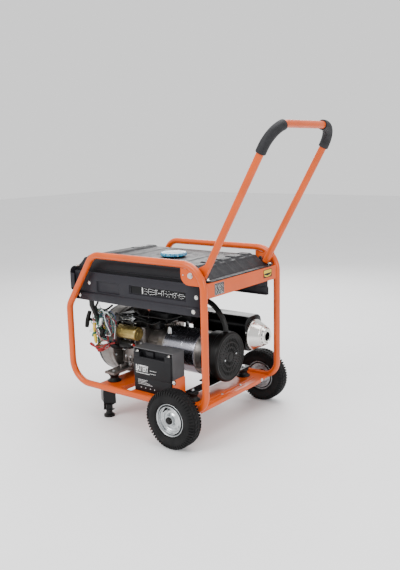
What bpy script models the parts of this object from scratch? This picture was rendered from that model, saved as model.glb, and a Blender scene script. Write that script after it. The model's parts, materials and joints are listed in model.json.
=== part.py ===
"""Open-frame portable generator: tube frame, engine, alternator, tank, battery, wheels, folding handle.

Lengths are metres and +Z is up. Sizes are worked out in the frame's own coordinates: x = 0 is the
middle of the side loops (recoil end at -x, handle end at +x), y = 0 lies between the loops (battery
side at -y) and z = 0 is the floor. One root empty then centres the whole object on the origin.
"""
import math

import bmesh
import bpy
from mathutils import Matrix, Vector

# ---- Clearances ----
GAP = 0.0003
RUN = 0.0004

# ---- Frame ----
TUBE_R = 0.0127
LOOP_HALF_LENGTH = 0.3295
LOOP_HALF_WIDTH = 0.237
LOOP_HEIGHT = 0.515
BEND_LOW_HANDLE_END = 0.062
BEND_HIGH_HANDLE_END = 0.0876
BEND_LOW_RECOIL_END = 0.0876
BEND_SLANT = 0.060
SLANT_RUN = 0.139
SLANT_DROP = 0.208
ARC_STEPS = 5
TUBE_BEVEL = 4
FINE_STEPS = 32
COARSE_STEPS = 24

CROSSBAR_HEIGHT = 0.050
CROSSBAR_DEPTH = 0.030
CROSSBAR_OFFSET = 0.005
CROSSBAR_DROP = 0.0625
SHEET = 0.002
RAIL_SHEET = 0.003
RAIL_LIFT = 0.002
RECOIL_RAIL_LENGTH = 0.110
RAIL_FLANGE = 0.0145
HANDLE_RAIL_LENGTH = 0.1145
HANDLE_RAIL_INSET = 0.031

PANEL_HEIGHT = 0.111
PANEL_DROP = 0.071
PANEL_STRIP_HEIGHT = 0.033
PANEL_STEP = 0.006
PANEL_FLANGE = 0.012
PANEL_END_INSET = 0.0082
END_PANEL_HEIGHT = 0.0937
END_PANEL_OFFSET = 0.0025

GUSSET_LENGTH = 0.083
GUSSET_SHEET = 0.004
GUSSET_CORNER = 0.034
GUSSET_LAST_STEP = 0.3

# ---- Handle ----
PIVOT_INSET = 0.0535
PIVOT_DROP = 0.037
PIVOT_BOLT_R = 0.005
HANDLE_TILT = math.radians(29.2)
HANDLE_REACH = 0.5743
HANDLE_OFFSET = 0.0276
HANDLE_FOOT = 0.003
HANDLE_SIDE_INSET = 0.0361
HANDLE_BEND = 0.0824
PIVOT_PLATE = 0.004
GRIP_R = 0.0175
NEAR_GRIP_LEG = 0.018
NEAR_GRIP_STEPS = 4
FAR_GRIP_LEG = 0.001
FAR_GRIP_BAR = 0.004

# ---- Wheels, axle, legs ----
TYRE_R = 0.106
TYRE_HALF_WIDTH = 0.0315
TYRE_WALL = 0.007
RIM_FLANGE_R = 0.060
RIM_BARREL_R = 0.050
RIM_HALF_WIDTH = 0.023
RIM_SHEET = 0.0025
HUB_R = 0.0165
HUB_HALF_LENGTH = 0.024
AXLE_R = 0.008
AXLE_INSET = 0.1019
AXLE_CLEARANCE = 0.0023
WHEEL_GAP = 0.024
AXLE_BRACKET_WIDTH = 0.032
AXLE_END = 0.0065
LEG_INSET_X = 0.1575
LEG_INSET_Y = 0.031
LEG_HALF_WIDTH = 0.0395
LEG_DEPTH = 0.026
LEG_NECK = 0.020
LEG_NECK_Z = 0.050
FOOT_R = 0.0216
FOOT_HEIGHT = 0.026

# ---- Engine, on the crankshaft axis ----
AXIS_Y = 0.0
STATOR_LIFT = 0.0129
MOUNT_R = 0.022
MOUNT_HEIGHT = 0.030
MOUNT_BASE_R = 0.0275
MOUNT_Y = 0.165
RECOIL_MOUNT_X = -0.176
HANDLE_MOUNT_OFFSET = 0.0323
FOOT_PLATE = 0.009

CRANKCASE_X0 = -0.205
CRANKCASE_X1 = -0.085
CRANKCASE_NEAR = 0.085
CRANKCASE_FAR = 0.085
CRANKCASE_TOP = 0.084
CRANKCASE_WALL = 0.014
SHAFT_R = 0.0175
WEB_R = 0.046
WEB_THICKNESS = 0.016
CRANK_THROW = 0.026

CYLINDER_TILT = math.radians(25.0)
CYLINDER_HALF = 0.050
CYLINDER_START = 0.080
CYLINDER_CORE_R = 0.043
FIN_COUNT = 6
FIN_PITCH = 0.0115
FIN_THICKNESS = 0.003
HEAD_START = 0.165
HEAD_LENGTH = 0.020
VALVE_COVER_LENGTH = 0.028

FAN_R = 0.138
FAN_LENGTH = 0.070
FAN_SHEET = 0.0025
RECOIL_DEPTH = 0.034
FLYWHEEL_R = 0.104

RECOIL_OFFSET = 0.083
RECOIL_ROPE_Y = -0.112
RECOIL_ROPE_Z = 0.087
RECOIL_PULL = math.radians(19.2)
RECOIL_STEM = 0.074
RECOIL_BAR = 0.066
RECOIL_BAR_R = 0.009

STARTER_R = 0.028
STARTER_X0 = -0.178
STARTER_LENGTH = 0.106
STARTER_GAP = 0.011
STARTER_Z = 0.067

# ---- Alternator ----
STATOR_R = 0.085
STATOR_X0 = 0.008
STATOR_LENGTH = 0.151
ROTOR_R = 0.0585
ROTOR_AIR = 0.0015
BRACKET_LENGTH = 0.036
COVER_R = 0.0950
COVER_NECK_R = 0.0866
COVER_LENGTH = 0.0785
COVER_SHEET = 0.003

# ---- Muffler ----
MUFFLER_X0 = 0.020
MUFFLER_LENGTH = 0.252
MUFFLER_GAP = 0.013
MUFFLER_RISE = 0.0585
MUFFLER_HALF_WIDTH = 0.058
MUFFLER_HALF_HEIGHT = 0.068
MUFFLER_CORNER = 0.034
CONE_R = 0.0600
CONE_TIP_R = 0.030
CONE_HOLE_R = 0.018
CONE_LENGTH = 0.0635
CONE_DROP = 0.0061
EXHAUST_R = 0.014

# ---- Fuel tank ----
TANK_RECOIL_INSET = 0.0095
TANK_HANDLE_INSET = 0.019
TANK_SIDE_INSET = 0.039
TANK_TOP_DROP = 0.0215
TANK_DEPTH = 0.098
TANK_SLOPE_RUN = 0.046
TANK_RECOIL_RUN = 0.036
TANK_SEAM = 0.003
TANK_MARGIN = 0.004
TANK_CORNER = 0.014
RECOIL_BAND_INSET = 0.044
HANDLE_BAND_INSET = 0.0525
BAND_LENGTH = 0.051
BAND_SIDE_INSET = 0.016
BAND_HEIGHT = 0.0075
TANK_WALL = 0.002
FLANGE_WIDTH = 0.006
CAP_X = 0.008
CAP_Y = 0.004
CAP_R = 0.0515
CAP_HEIGHT = 0.0140
NECK_R = 0.040
NECK_BORE_R = 0.033
NECK_HEIGHT = 0.0095

# ---- Battery ----
BATTERY_INSET = 0.036
BATTERY_LENGTH = 0.181
BATTERY_SIDE_INSET = 0.031
BATTERY_WIDTH = 0.077
BATTERY_HEIGHT = 0.163
TRAY_MARGIN = 0.004
TRAY_OVERLAP = 0.002
BRACKET_OFFSET = 0.0045
BRACKET_TAB = 0.024
BRACKET_LOW_HEIGHT = 0.066
BRACKET_HIGH_HEIGHT = 0.098
CLAMP_SHEET = 0.003

# ---- Wiring ----
CONDUIT_R = 0.0105
CONDUIT_AT_COVER = [
    (0.2505, 0.000, 0.0970),
    (0.2488, 0.000, 0.115),
    (0.2390, 0.000, 0.140),
    (0.2205, 0.001, 0.1645),
    (0.197, 0.006, 0.1835),
    (0.165, 0.014, 0.196),
    (0.125, 0.024, 0.200),
    (0.070, 0.050, 0.200),
]
CONDUIT_AT_PANEL = [
    (0.020, 0.110, 0.010),
    (0.000, 0.045, 0.026),
    (-0.005, 0.0115, 0.020),
    (-0.005, 0.0115, 0.0015),
]
HARNESS_R = 0.010
HARNESS_AT_PANEL = [
    (-0.232, 0.0120, 0.0010),
    (-0.232, 0.0125, 0.021),
    (-0.234, 0.032, 0.057),
]
HARNESS_AT_ENGINE = [
    (-0.232, -0.178, 0.099),
    (-0.222, -0.168, 0.054),
    (-0.205, -0.158, 0.019),
    (-0.185, -0.135, 0.001),
    (-0.172, -0.110, -0.007),
    (-0.172, -0.0860, -0.007),
]

# ---- Worked out ----
BASE_Z = TYRE_R + AXLE_R + AXLE_CLEARANCE + TUBE_R
TOP_Z = BASE_Z + LOOP_HEIGHT
INNER_Y = LOOP_HALF_WIDTH - TUBE_R - GAP
AXLE_X = LOOP_HALF_LENGTH - AXLE_INSET
WHEEL_Y = LOOP_HALF_WIDTH + WHEEL_GAP + TYRE_HALF_WIDTH
LEG_X = -(LOOP_HALF_LENGTH - LEG_INSET_X)
LEG_Y = LOOP_HALF_WIDTH - LEG_INSET_Y
HANDLE_HALF_WIDTH = LOOP_HALF_WIDTH - HANDLE_SIDE_INSET
PIVOT_X = LOOP_HALF_LENGTH - PIVOT_INSET
PIVOT_Z = TOP_Z - PIVOT_DROP
LEG_DIR = Vector((math.sin(HANDLE_TILT), 0.0, math.cos(HANDLE_TILT)))
LEG_SIDE = Vector((math.cos(HANDLE_TILT), 0.0, -math.sin(HANDLE_TILT)))
PIVOT = Vector((PIVOT_X, 0.0, PIVOT_Z))
BAR = PIVOT + LEG_DIR * HANDLE_REACH + LEG_SIDE * HANDLE_OFFSET
CROSSBAR_TOP = TOP_Z - CROSSBAR_DROP
RAIL_Z = BASE_Z + RAIL_LIFT
RAIL_TOP = RAIL_Z + RAIL_SHEET / 2
HANDLE_RAIL_X1 = LOOP_HALF_LENGTH - HANDLE_RAIL_INSET
HANDLE_RAIL_X0 = HANDLE_RAIL_X1 - HANDLE_RAIL_LENGTH
MOUNT_TOP = RAIL_TOP + 2 * GAP + MOUNT_HEIGHT
HANDLE_MOUNT_X = HANDLE_RAIL_X0 + HANDLE_MOUNT_OFFSET
AXIS_Z = MOUNT_TOP + STATOR_R + STATOR_LIFT
RECOIL_X = CRANKCASE_X0 - RECOIL_OFFSET
STARTER_Y = -(CRANKCASE_NEAR + STARTER_R + STARTER_GAP)
MUFFLER_Y = AXIS_Y + STATOR_R + MUFFLER_GAP + MUFFLER_HALF_WIDTH
MUFFLER_Z = AXIS_Z + MUFFLER_RISE
CONE_Z = MUFFLER_Z - CONE_DROP
TANK_X0 = -(LOOP_HALF_LENGTH - TANK_RECOIL_INSET)
TANK_X1 = LOOP_HALF_LENGTH - TANK_HANDLE_INSET
TANK_HALF_WIDTH = LOOP_HALF_WIDTH - TANK_SIDE_INSET
TANK_TOP = TOP_Z - TANK_TOP_DROP
TRAY_X1 = HANDLE_RAIL_X0 + TRAY_OVERLAP
BRACKET_X1 = TRAY_X1 + BRACKET_TAB
BATTERY_X0 = TRAY_X1 - BATTERY_INSET - BATTERY_LENGTH
BATTERY_Y0 = -(LOOP_HALF_WIDTH - BATTERY_SIDE_INSET)
BRACKET_Y = BATTERY_Y0 + BRACKET_OFFSET
PANEL_TOP = TOP_Z - PANEL_DROP
PANEL_BOTTOM = PANEL_TOP - PANEL_HEIGHT
PANEL_X0 = -LOOP_HALF_LENGTH + TUBE_R + PANEL_END_INSET
PANEL_X1 = LOOP_HALF_LENGTH - TUBE_R - 2 * PANEL_END_INSET
PANEL_FACE = INNER_Y - PANEL_STEP
END_PANEL_X = -LOOP_HALF_LENGTH - END_PANEL_OFFSET
X_CENTRE = (BAR.x + GRIP_R - LOOP_HALF_LENGTH - TUBE_R) / 2
PULL = Vector((0.0, -math.cos(RECOIL_PULL), math.sin(RECOIL_PULL)))
SIDES = (("near", -1), ("far", 1))

MATERIALS = {
    "orange_paint": ((0.80, 0.13, 0.02), 0.35, 0.0),
    "black_paint": ((0.03, 0.03, 0.035), 0.40, 0.0),
    "panel_paint": ((0.055, 0.055, 0.065), 0.40, 0.0),
    "zinc_steel": ((0.62, 0.63, 0.64), 0.35, 1.0),
    "steel": ((0.55, 0.55, 0.57), 0.30, 1.0),
    "cast_aluminium": ((0.45, 0.44, 0.42), 0.50, 1.0),
    "gold_zinc": ((0.55, 0.43, 0.18), 0.35, 1.0),
    "rubber": ((0.025, 0.025, 0.025), 0.85, 0.0),
    "tyre_rubber": ((0.03, 0.03, 0.03), 0.85, 0.0),
    "foam": ((0.03, 0.03, 0.03), 0.90, 0.0),
    "black_plastic": ((0.03, 0.03, 0.03), 0.45, 0.0),
    "blue_plastic": ((0.05, 0.45, 0.62), 0.30, 0.0),
    "grey_plastic": ((0.30, 0.30, 0.30), 0.50, 0.0),
    "red_plastic": ((0.60, 0.03, 0.02), 0.40, 0.0),
}


# ---- Scene helpers ----
def clear_scene():
    for obj in list(bpy.data.objects):
        bpy.data.objects.remove(obj, do_unlink=True)


def make_collection(name):
    collection = bpy.data.collections.new(name)
    bpy.context.scene.collection.children.link(collection)
    return collection


def make_material(name):
    colour, roughness, metallic = MATERIALS[name]
    material = bpy.data.materials.new(name)
    material.use_nodes = True
    shader = material.node_tree.nodes["Principled BSDF"]
    shader.inputs["Base Color"].default_value = (*colour, 1.0)
    shader.inputs["Roughness"].default_value = roughness
    shader.inputs["Metallic"].default_value = metallic
    return material


clear_scene()
PARTS = make_collection("portable_generator")
CUTTERS = make_collection("cutters")
SLOTS = {name: make_material(name) for name in MATERIALS}


def make_empty(name, location, parent=None):
    empty = bpy.data.objects.new(name, None)
    empty.location = location
    empty.parent = parent
    empty.empty_display_size = 0.05
    PARTS.objects.link(empty)
    return empty


ROOT = make_empty("generator_origin", (-X_CENTRE, 0, 0))


def add(name, mesh, slot=None, location=(0, 0, 0), rotation=(0, 0, 0), parent=None):
    """One object; slot None makes it a cutter or a piece that is fused into another."""
    obj = bpy.data.objects.new(name, mesh)
    obj.location = location
    obj.rotation_euler = rotation
    obj.parent = parent or ROOT
    if slot is None:
        CUTTERS.objects.link(obj)
        obj.hide_render = True
        obj.display_type = "WIRE"
    else:
        PARTS.objects.link(obj)
        mesh.materials.append(SLOTS[slot])
    return obj


def bmesh_to_mesh(name, bm):
    mesh = bpy.data.meshes.new(name)
    bm.normal_update()
    bmesh.ops.recalc_face_normals(bm, faces=bm.faces)
    bm.to_mesh(mesh)
    bm.free()
    return mesh


def boolean(obj, other, operation):
    modifier = obj.modifiers.new(operation.lower(), "BOOLEAN")
    modifier.operation = operation
    modifier.object = other
    modifier.solver = "EXACT"


def cut(obj, *cutters):
    for cutter in cutters:
        boolean(obj, cutter, "DIFFERENCE")


def fuse(obj, *others):
    for other in others:
        boolean(obj, other, "UNION")


def bevel(obj, width, segments=2, angle=30):
    modifier = obj.modifiers.new("bevel", "BEVEL")
    modifier.width = width
    modifier.segments = segments
    modifier.limit_method = "ANGLE"
    modifier.angle_limit = math.radians(angle)
    return obj


def smooth(obj, angle=35):
    obj.data.shade_smooth()
    obj.data.set_sharp_from_angle(angle=math.radians(angle))
    return obj


# ---- Shape helpers ----
def box(name, low, high, slot=None, **place):
    low = Vector(low)
    high = Vector(high)
    bm = bmesh.new()
    bmesh.ops.create_cube(bm, size=1.0)
    size = Matrix.Diagonal((*(high - low), 1.0))
    bmesh.ops.transform(bm, matrix=Matrix.Translation((low + high) / 2) @ size, verts=bm.verts)
    return add(name, bmesh_to_mesh(name, bm), slot, **place)


def rod(name, start, end, radius, slot=None, segments=16, **place):
    start = Vector(start)
    end = Vector(end)
    bm = bmesh.new()
    bmesh.ops.create_cone(bm, cap_ends=True, segments=segments, radius1=radius, radius2=radius,
                          depth=(end - start).length)
    turn = Vector((0, 0, 1)).rotation_difference(end - start).to_matrix().to_4x4()
    bmesh.ops.transform(bm, matrix=Matrix.Translation((start + end) / 2) @ turn, verts=bm.verts)
    return add(name, bmesh_to_mesh(name, bm), slot, **place)


def outline_plate(name, points, axis, low, high, slot=None, **place):
    """A flat outline of 2D points, extruded from low to high along axis."""
    curve = bpy.data.curves.new(name, "CURVE")
    curve.dimensions = "2D"
    curve.fill_mode = "BOTH"
    curve.extrude = (high - low) / 2
    spline = curve.splines.new("POLY")
    spline.points.add(len(points) - 1)
    for target, point in zip(spline.points, points):
        target.co = (point[0], point[1], 0, 1)
    spline.use_cyclic_u = True
    middle = (low + high) / 2
    frames = {
        "X": Matrix(((0, 0, 1, middle), (1, 0, 0, 0), (0, 1, 0, 0), (0, 0, 0, 1))),
        "Y": Matrix(((1, 0, 0, 0), (0, 0, 1, middle), (0, 1, 0, 0), (0, 0, 0, 1))),
        "Z": Matrix.Translation((0, 0, middle)),
    }
    return add(name, curve_to_mesh(curve, frames[axis]), slot, **place)


def curve_to_mesh(curve, matrix=None):
    holder = bpy.data.objects.new(curve.name, curve)
    CUTTERS.objects.link(holder)
    mesh = bpy.data.meshes.new_from_object(holder.evaluated_get(bpy.context.evaluated_depsgraph_get()))
    bpy.data.objects.remove(holder)
    bm = bmesh.new()
    bm.from_mesh(mesh)
    bmesh.ops.remove_doubles(bm, verts=bm.verts, dist=0.00001)
    if matrix is not None:
        bmesh.ops.transform(bm, matrix=matrix, verts=bm.verts)
    return bmesh_to_mesh(curve.name, bm)


def tube(name, points, radius, slot=None, closed=False, resolution=TUBE_BEVEL, **place):
    curve = bpy.data.curves.new(name, "CURVE")
    curve.dimensions = "3D"
    curve.bevel_depth = radius
    curve.bevel_resolution = resolution
    curve.use_fill_caps = not closed
    spline = curve.splines.new("POLY")
    spline.points.add(len(points) - 1)
    for target, point in zip(spline.points, points):
        target.co = (*point, 1)
    spline.use_cyclic_u = closed
    return smooth(add(name, curve_to_mesh(curve), slot, **place))


def rounded(corners, closed=True, steps=ARC_STEPS):
    """A polyline through 2D or 3D corners (point, radius), with an arc at each corner of radius > 0."""
    points = []
    count = len(corners)
    for index, (corner, radius) in enumerate(corners):
        corner = Vector(corner)
        if radius <= 0 or (not closed and index in (0, count - 1)):
            points.append(corner)
            continue
        before = (Vector(corners[index - 1][0]) - corner).normalized()
        after = (Vector(corners[(index + 1) % count][0]) - corner).normalized()
        half = before.angle(after) / 2
        centre = corner + (before + after).normalized() * (radius / math.sin(half))
        start = corner + before * (radius / math.tan(half)) - centre
        side = -before * radius
        turn = math.pi - 2 * half
        for step in range(steps + 1):
            angle = turn * step / steps
            points.append(centre + start * math.cos(angle) + side * math.sin(angle))
    return points


def strip(name, points, axis, low, high, thickness, slot=None, **place):
    """A folded sheet: 2D points joined into one open surface along axis, thickened to both sides."""
    bm = bmesh.new()
    rows = []
    for point in points:
        if axis == "X":
            ends = ((low, point[0], point[1]), (high, point[0], point[1]))
        elif axis == "Y":
            ends = ((point[0], low, point[1]), (point[0], high, point[1]))
        else:
            ends = ((point[0], point[1], low), (point[0], point[1], high))
        rows.append([bm.verts.new(end) for end in ends])
    for first, second in zip(rows, rows[1:]):
        bm.faces.new((first[0], first[1], second[1], second[0]))
    return thicken(add(name, bmesh_to_mesh(name, bm), slot, **place), thickness)


def thicken(obj, thickness):
    modifier = obj.modifiers.new("sheet", "SOLIDIFY")
    modifier.thickness = thickness
    modifier.offset = 0
    modifier.use_even_offset = True
    return obj


def lathe(name, profile, slot=None, steps=COARSE_STEPS, axis="X", centre=(0, 0, 0), parent=None):
    """A turned shape. Profile points are (along, radius); two neighbours may lie on the axis."""
    for index, (first, second) in enumerate(zip(profile, profile[1:])):
        if first[1] == 0 and second[1] == 0:
            profile = profile[index + 1:] + profile[:index + 1]
            break
    area = 0
    for first, second in zip(profile, profile[1:] + profile[:1]):
        area += first[1] * second[0] - second[1] * first[0]
    if area > 0:
        profile = profile[::-1]
    bm = bmesh.new()
    verts = [bm.verts.new((radius, 0, along)) for along, radius in profile]
    for first, second in zip(verts, verts[1:]):
        bm.edges.new((first, second))
    on_axis = profile[0][1] == 0 and profile[-1][1] == 0
    if not on_axis:
        bm.edges.new((verts[-1], verts[0]))
    mesh = bpy.data.meshes.new(name)
    bm.to_mesh(mesh)
    bm.free()
    turns = {"X": (0, math.pi / 2, 0), "Y": (-math.pi / 2, 0, 0), "Z": (0, 0, 0)}
    obj = add(name, mesh, slot, location=centre, rotation=turns[axis], parent=parent)
    modifier = obj.modifiers.new("turn", "SCREW")
    modifier.axis = "Z"
    modifier.steps = steps
    modifier.render_steps = steps
    modifier.use_merge_vertices = True
    modifier.merge_threshold = 0.00001
    modifier.use_normal_calculate = False
    return obj


def smooth_route(knots, spacing):
    """Points along a Catmull-Rom curve through the knots, about spacing apart."""
    knots = [Vector(knot) for knot in knots]
    padded = [knots[0] * 2 - knots[1]] + knots + [knots[-1] * 2 - knots[-2]]
    points = [knots[0]]
    for a, b, c, d in zip(padded, padded[1:], padded[2:], padded[3:]):
        steps = max(1, round((c - b).length / spacing))
        for step in range(1, steps + 1):
            t = step / steps
            blend = b * 2 + (c - a) * t + (a * 2 - b * 5 + c * 4 - d) * t**2
            points.append((blend + (b * 3 - a - c * 3 + d) * t**3) / 2)
    return points


# ---- Frame ----
def loop_corners():
    x = LOOP_HALF_LENGTH
    return [
        ((x, BASE_Z), BEND_LOW_HANDLE_END),
        ((x, TOP_Z), BEND_HIGH_HANDLE_END),
        ((-x + SLANT_RUN, TOP_Z), BEND_SLANT),
        ((-x, TOP_Z - SLANT_DROP), BEND_SLANT),
        ((-x, BASE_Z), BEND_LOW_RECOIL_END),
    ]


def make_side_loops():
    route = rounded(loop_corners())
    for side, sign in SIDES:
        y = sign * LOOP_HALF_WIDTH
        points = [(point[0], y, point[1]) for point in route]
        tube(f"side_loop_{side}", points, TUBE_R, "orange_paint", closed=True)


def make_gussets():
    inner_r = BEND_HIGH_HANDLE_END - TUBE_R - GAP
    centre = Vector((LOOP_HALF_LENGTH - BEND_HIGH_HANDLE_END, TOP_Z - BEND_HIGH_HANDLE_END))
    left = LOOP_HALF_LENGTH - TUBE_R - GUSSET_LENGTH
    arc = []
    for step in range(ARC_STEPS + 1):
        angle = math.pi / 2 * (1 - step / ARC_STEPS)
        arc.append(centre + Vector((math.cos(angle), math.sin(angle))) * inner_r)
    arc[-1] = arc[-2].lerp(arc[-1], GUSSET_LAST_STEP)
    outline = [(left, arc[0].y), *arc]
    corner_points = [(arc[-1], 0), ((left, arc[-1].y), GUSSET_CORNER), ((left, arc[0].y), 0)]
    corner = rounded(corner_points, closed=False)
    outline += corner[1:-1]
    for side, sign in SIDES:
        y = sign * LOOP_HALF_WIDTH
        low = y - GUSSET_SHEET / 2
        gusset = outline_plate(f"gusset_{side}", outline, "Y", low, low + GUSSET_SHEET, "orange_paint")
        cut(gusset, pivot_hole(f"gusset_hole_{side}", y))


def pivot_hole(name, y):
    return rod(name, (PIVOT_X, y - 0.02, PIVOT_Z), (PIVOT_X, y + 0.02, PIVOT_Z), PIVOT_BOLT_R + RUN)


def make_crossbar():
    outer = LOOP_HALF_LENGTH + CROSSBAR_OFFSET - SHEET / 2
    inner = outer - CROSSBAR_DEPTH
    top = CROSSBAR_TOP - SHEET / 2
    bottom = top - CROSSBAR_HEIGHT
    profile = [(inner, top), (outer, top), (outer, bottom), (inner, bottom)]
    strip("handle_end_crossbar", profile, "Y", -INNER_Y, INNER_Y, SHEET, "orange_paint")


def make_base_rails():
    x0 = CRANKCASE_X0 + GAP
    x1 = x0 + RECOIL_RAIL_LENGTH
    lip = RAIL_Z - RAIL_FLANGE
    profile = [(x0 + RAIL_SHEET / 2, lip), (x0 + RAIL_SHEET / 2, RAIL_Z), (x1, RAIL_Z), (x1, lip)]
    strip("recoil_end_base_rail", profile, "Y", -INNER_Y, INNER_Y, RAIL_SHEET, "orange_paint")
    outer = HANDLE_RAIL_X1 - RAIL_SHEET / 2
    profile = [(HANDLE_RAIL_X0, RAIL_Z), (outer, RAIL_Z), (outer, RAIL_Z - RAIL_FLANGE)]
    strip("handle_end_base_rail", profile, "Y", -INNER_Y, INNER_Y, RAIL_SHEET, "orange_paint")


def make_side_panels():
    outer = INNER_Y - SHEET / 2
    face = outer - PANEL_STEP
    inner = face - PANEL_FLANGE
    top = PANEL_TOP - SHEET / 2
    bottom = PANEL_BOTTOM + SHEET / 2
    step = bottom + PANEL_STRIP_HEIGHT
    profile = [
        (inner, top),
        (face, top),
        (face, step),
        (outer, step - PANEL_STEP),
        (outer, bottom),
        (inner, bottom),
    ]
    for name, sign in (("side_panel", -1), ("control_panel", 1)):
        points = [(sign * y, z) for y, z in profile]
        strip(name, points, "X", PANEL_X0, PANEL_X1, SHEET, "panel_paint")
    edge = INNER_Y - SHEET / 2
    back = PANEL_X0 - GAP
    points = [(back, -edge), (END_PANEL_X, -edge), (END_PANEL_X, edge), (back, edge)]
    end_top = CROSSBAR_TOP + 0.005
    strip("recoil_end_panel", points, "Z", end_top - END_PANEL_HEIGHT, end_top, SHEET, "panel_paint")


def make_axle():
    end = WHEEL_Y + HUB_HALF_LENGTH + AXLE_END
    axle = rod("axle", (AXLE_X, -end, TYRE_R), (AXLE_X, end, TYRE_R), AXLE_R, "steel", segments=24)
    for side, sign in SIDES:
        edge = INNER_Y - SHEET
        low = min(sign * edge, sign * (edge - AXLE_BRACKET_WIDTH))
        low_corner = (AXLE_X - 0.020, low, TYRE_R - 0.013)
        high_corner = (AXLE_X + 0.020, low + AXLE_BRACKET_WIDTH, RAIL_Z - RAIL_SHEET / 2 - GAP)
        fuse(axle, box(f"axle_bracket_{side}", low_corner, high_corner))


def make_legs():
    top = BASE_Z - TUBE_R - GAP
    levels = [(top, LEG_HALF_WIDTH), (LEG_NECK_Z + 0.012, LEG_HALF_WIDTH), (LEG_NECK_Z, LEG_NECK)]
    levels.append((FOOT_HEIGHT, LEG_NECK))
    for side, sign in SIDES:
        bm = bmesh.new()
        rows = []
        for z, half in levels:
            row = []
            for across, depth in ((-1, 0), (0, 1), (1, 0)):
                y = sign * (LEG_Y + LEG_DEPTH * depth * half / LEG_HALF_WIDTH)
                row.append(bm.verts.new((LEG_X + across * half, y, z)))
            rows.append(row)
        for first, second in zip(rows, rows[1:]):
            for index in range(2):
                bm.faces.new((first[index], first[index + 1], second[index + 1], second[index]))
        leg = add(f"leg_{side}", bmesh_to_mesh(f"leg_{side}", bm), "black_paint")
        thicken(leg, RAIL_SHEET)
        depth = LEG_DEPTH * LEG_NECK / LEG_HALF_WIDTH
        low = (LEG_X - LEG_NECK + 0.002, min(sign * (LEG_Y - 0.014), sign * (LEG_Y + depth)), FOOT_HEIGHT)
        high = (LEG_X + LEG_NECK - 0.002, low[1] + depth + 0.014, FOOT_HEIGHT + RAIL_SHEET)
        fuse(leg, box(f"leg_base_{side}", low, high))
        top_low = (LEG_X - LEG_HALF_WIDTH, sign * LEG_Y - 0.02, top - RAIL_SHEET)
        top_high = (LEG_X + LEG_HALF_WIDTH, top_low[1] + 0.04, top)
        fuse(leg, box(f"leg_top_{side}", top_low, top_high))
        profile = [
            (0, 0),
            (0, FOOT_R),
            (0.008, FOOT_R),
            (0.012, 0.014),
            (FOOT_HEIGHT - GAP, 0.011),
            (FOOT_HEIGHT - GAP, 0),
        ]
        lathe(f"foot_{side}", profile, "rubber", steps=24, axis="Z", centre=(LEG_X, sign * LEG_Y, 0))


def make_engine_mounts():
    z0 = RAIL_TOP + GAP
    z1 = z0 + MOUNT_HEIGHT
    waist = MOUNT_R * 0.72
    profile = [
        (z0, 0),
        (z0, MOUNT_BASE_R),
        (z0 + 0.004, MOUNT_BASE_R),
        (z0 + 0.010, waist),
        (z1 - 0.010, waist),
        (z1 - 0.005, MOUNT_R),
        (z1, MOUNT_R),
        (z1, 0),
    ]
    for end, x in (("recoil_end", RECOIL_MOUNT_X), ("handle_end", HANDLE_MOUNT_X)):
        for side, sign in SIDES:
            centre = (x, sign * MOUNT_Y, 0)
            lathe(f"engine_mount_{end}_{side}", profile, "rubber", steps=16, axis="Z", centre=centre)


# ---- Wheels ----
def make_wheels():
    bead = RIM_BARREL_R + GAP
    half = TYRE_HALF_WIDTH
    outer = [
        (-RIM_HALF_WIDTH + 0.0045, bead),
        (-RIM_HALF_WIDTH + 0.0035, RIM_FLANGE_R + 0.001),
        (-half + 0.003, RIM_FLANGE_R + 0.010),
        (-half, TYRE_R - 0.022),
        (-half + 0.003, TYRE_R - 0.008),
        (-half + 0.011, TYRE_R - 0.001),
        (0, TYRE_R),
    ]
    profile = outer + [(-along, radius) for along, radius in reversed(outer[:-1])]
    inner = [
        (RIM_HALF_WIDTH - 0.0105, bead),
        (half - TYRE_WALL, RIM_FLANGE_R + 0.012),
        (half - TYRE_WALL - 0.002, TYRE_R - TYRE_WALL - 0.006),
        (0, TYRE_R - TYRE_WALL - 0.003),
    ]
    profile += inner + [(-along, radius) for along, radius in reversed(inner[:-1])]
    for side, sign in SIDES:
        empty = make_empty(f"{side}_wheel_axis", (AXLE_X, sign * WHEEL_Y, TYRE_R), ROOT)
        lathe(f"tyre_{side}", profile, "tyre_rubber", steps=COARSE_STEPS, axis="Y", parent=empty)
        lathe(f"rim_{side}", rim_profile(), "zinc_steel", steps=COARSE_STEPS, axis="Y", parent=empty)


def rim_profile():
    w = RIM_HALF_WIDTH
    t = RIM_SHEET
    bore = AXLE_R + RUN
    return [
        (-w, RIM_FLANGE_R),
        (-w + t, RIM_FLANGE_R),
        (-w + t, RIM_BARREL_R),
        (w - t, RIM_BARREL_R),
        (w - t, RIM_FLANGE_R),
        (w, RIM_FLANGE_R),
        (w, RIM_BARREL_R - t),
        (0.012, RIM_BARREL_R - t - 0.002),
        (0.006, RIM_BARREL_R - 0.010),
        (0.010, HUB_R + 0.010),
        (0.014, HUB_R),
        (HUB_HALF_LENGTH, HUB_R),
        (HUB_HALF_LENGTH, bore),
        (-HUB_HALF_LENGTH, bore),
        (-HUB_HALF_LENGTH, HUB_R),
        (-0.012, HUB_R),
        (-0.008, HUB_R + 0.008),
        (-0.004, RIM_BARREL_R - 0.012),
        (-0.014, RIM_BARREL_R - t - 0.002),
        (-w, RIM_BARREL_R - t),
    ]


# ---- Handle ----
def handle_route():
    """Centreline of the handle tube about its pivot, from the near foot over the bar to the far foot."""
    foot = LEG_DIR * HANDLE_FOOT + LEG_SIDE * HANDLE_OFFSET
    bar = BAR - PIVOT
    across = Vector((0, HANDLE_HALF_WIDTH, 0))
    corners = [
        (foot - across, 0),
        (bar - across, HANDLE_BEND),
        (bar + across, HANDLE_BEND),
        (foot + across, 0),
    ]
    return rounded(corners, closed=False, steps=ARC_STEPS)


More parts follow.
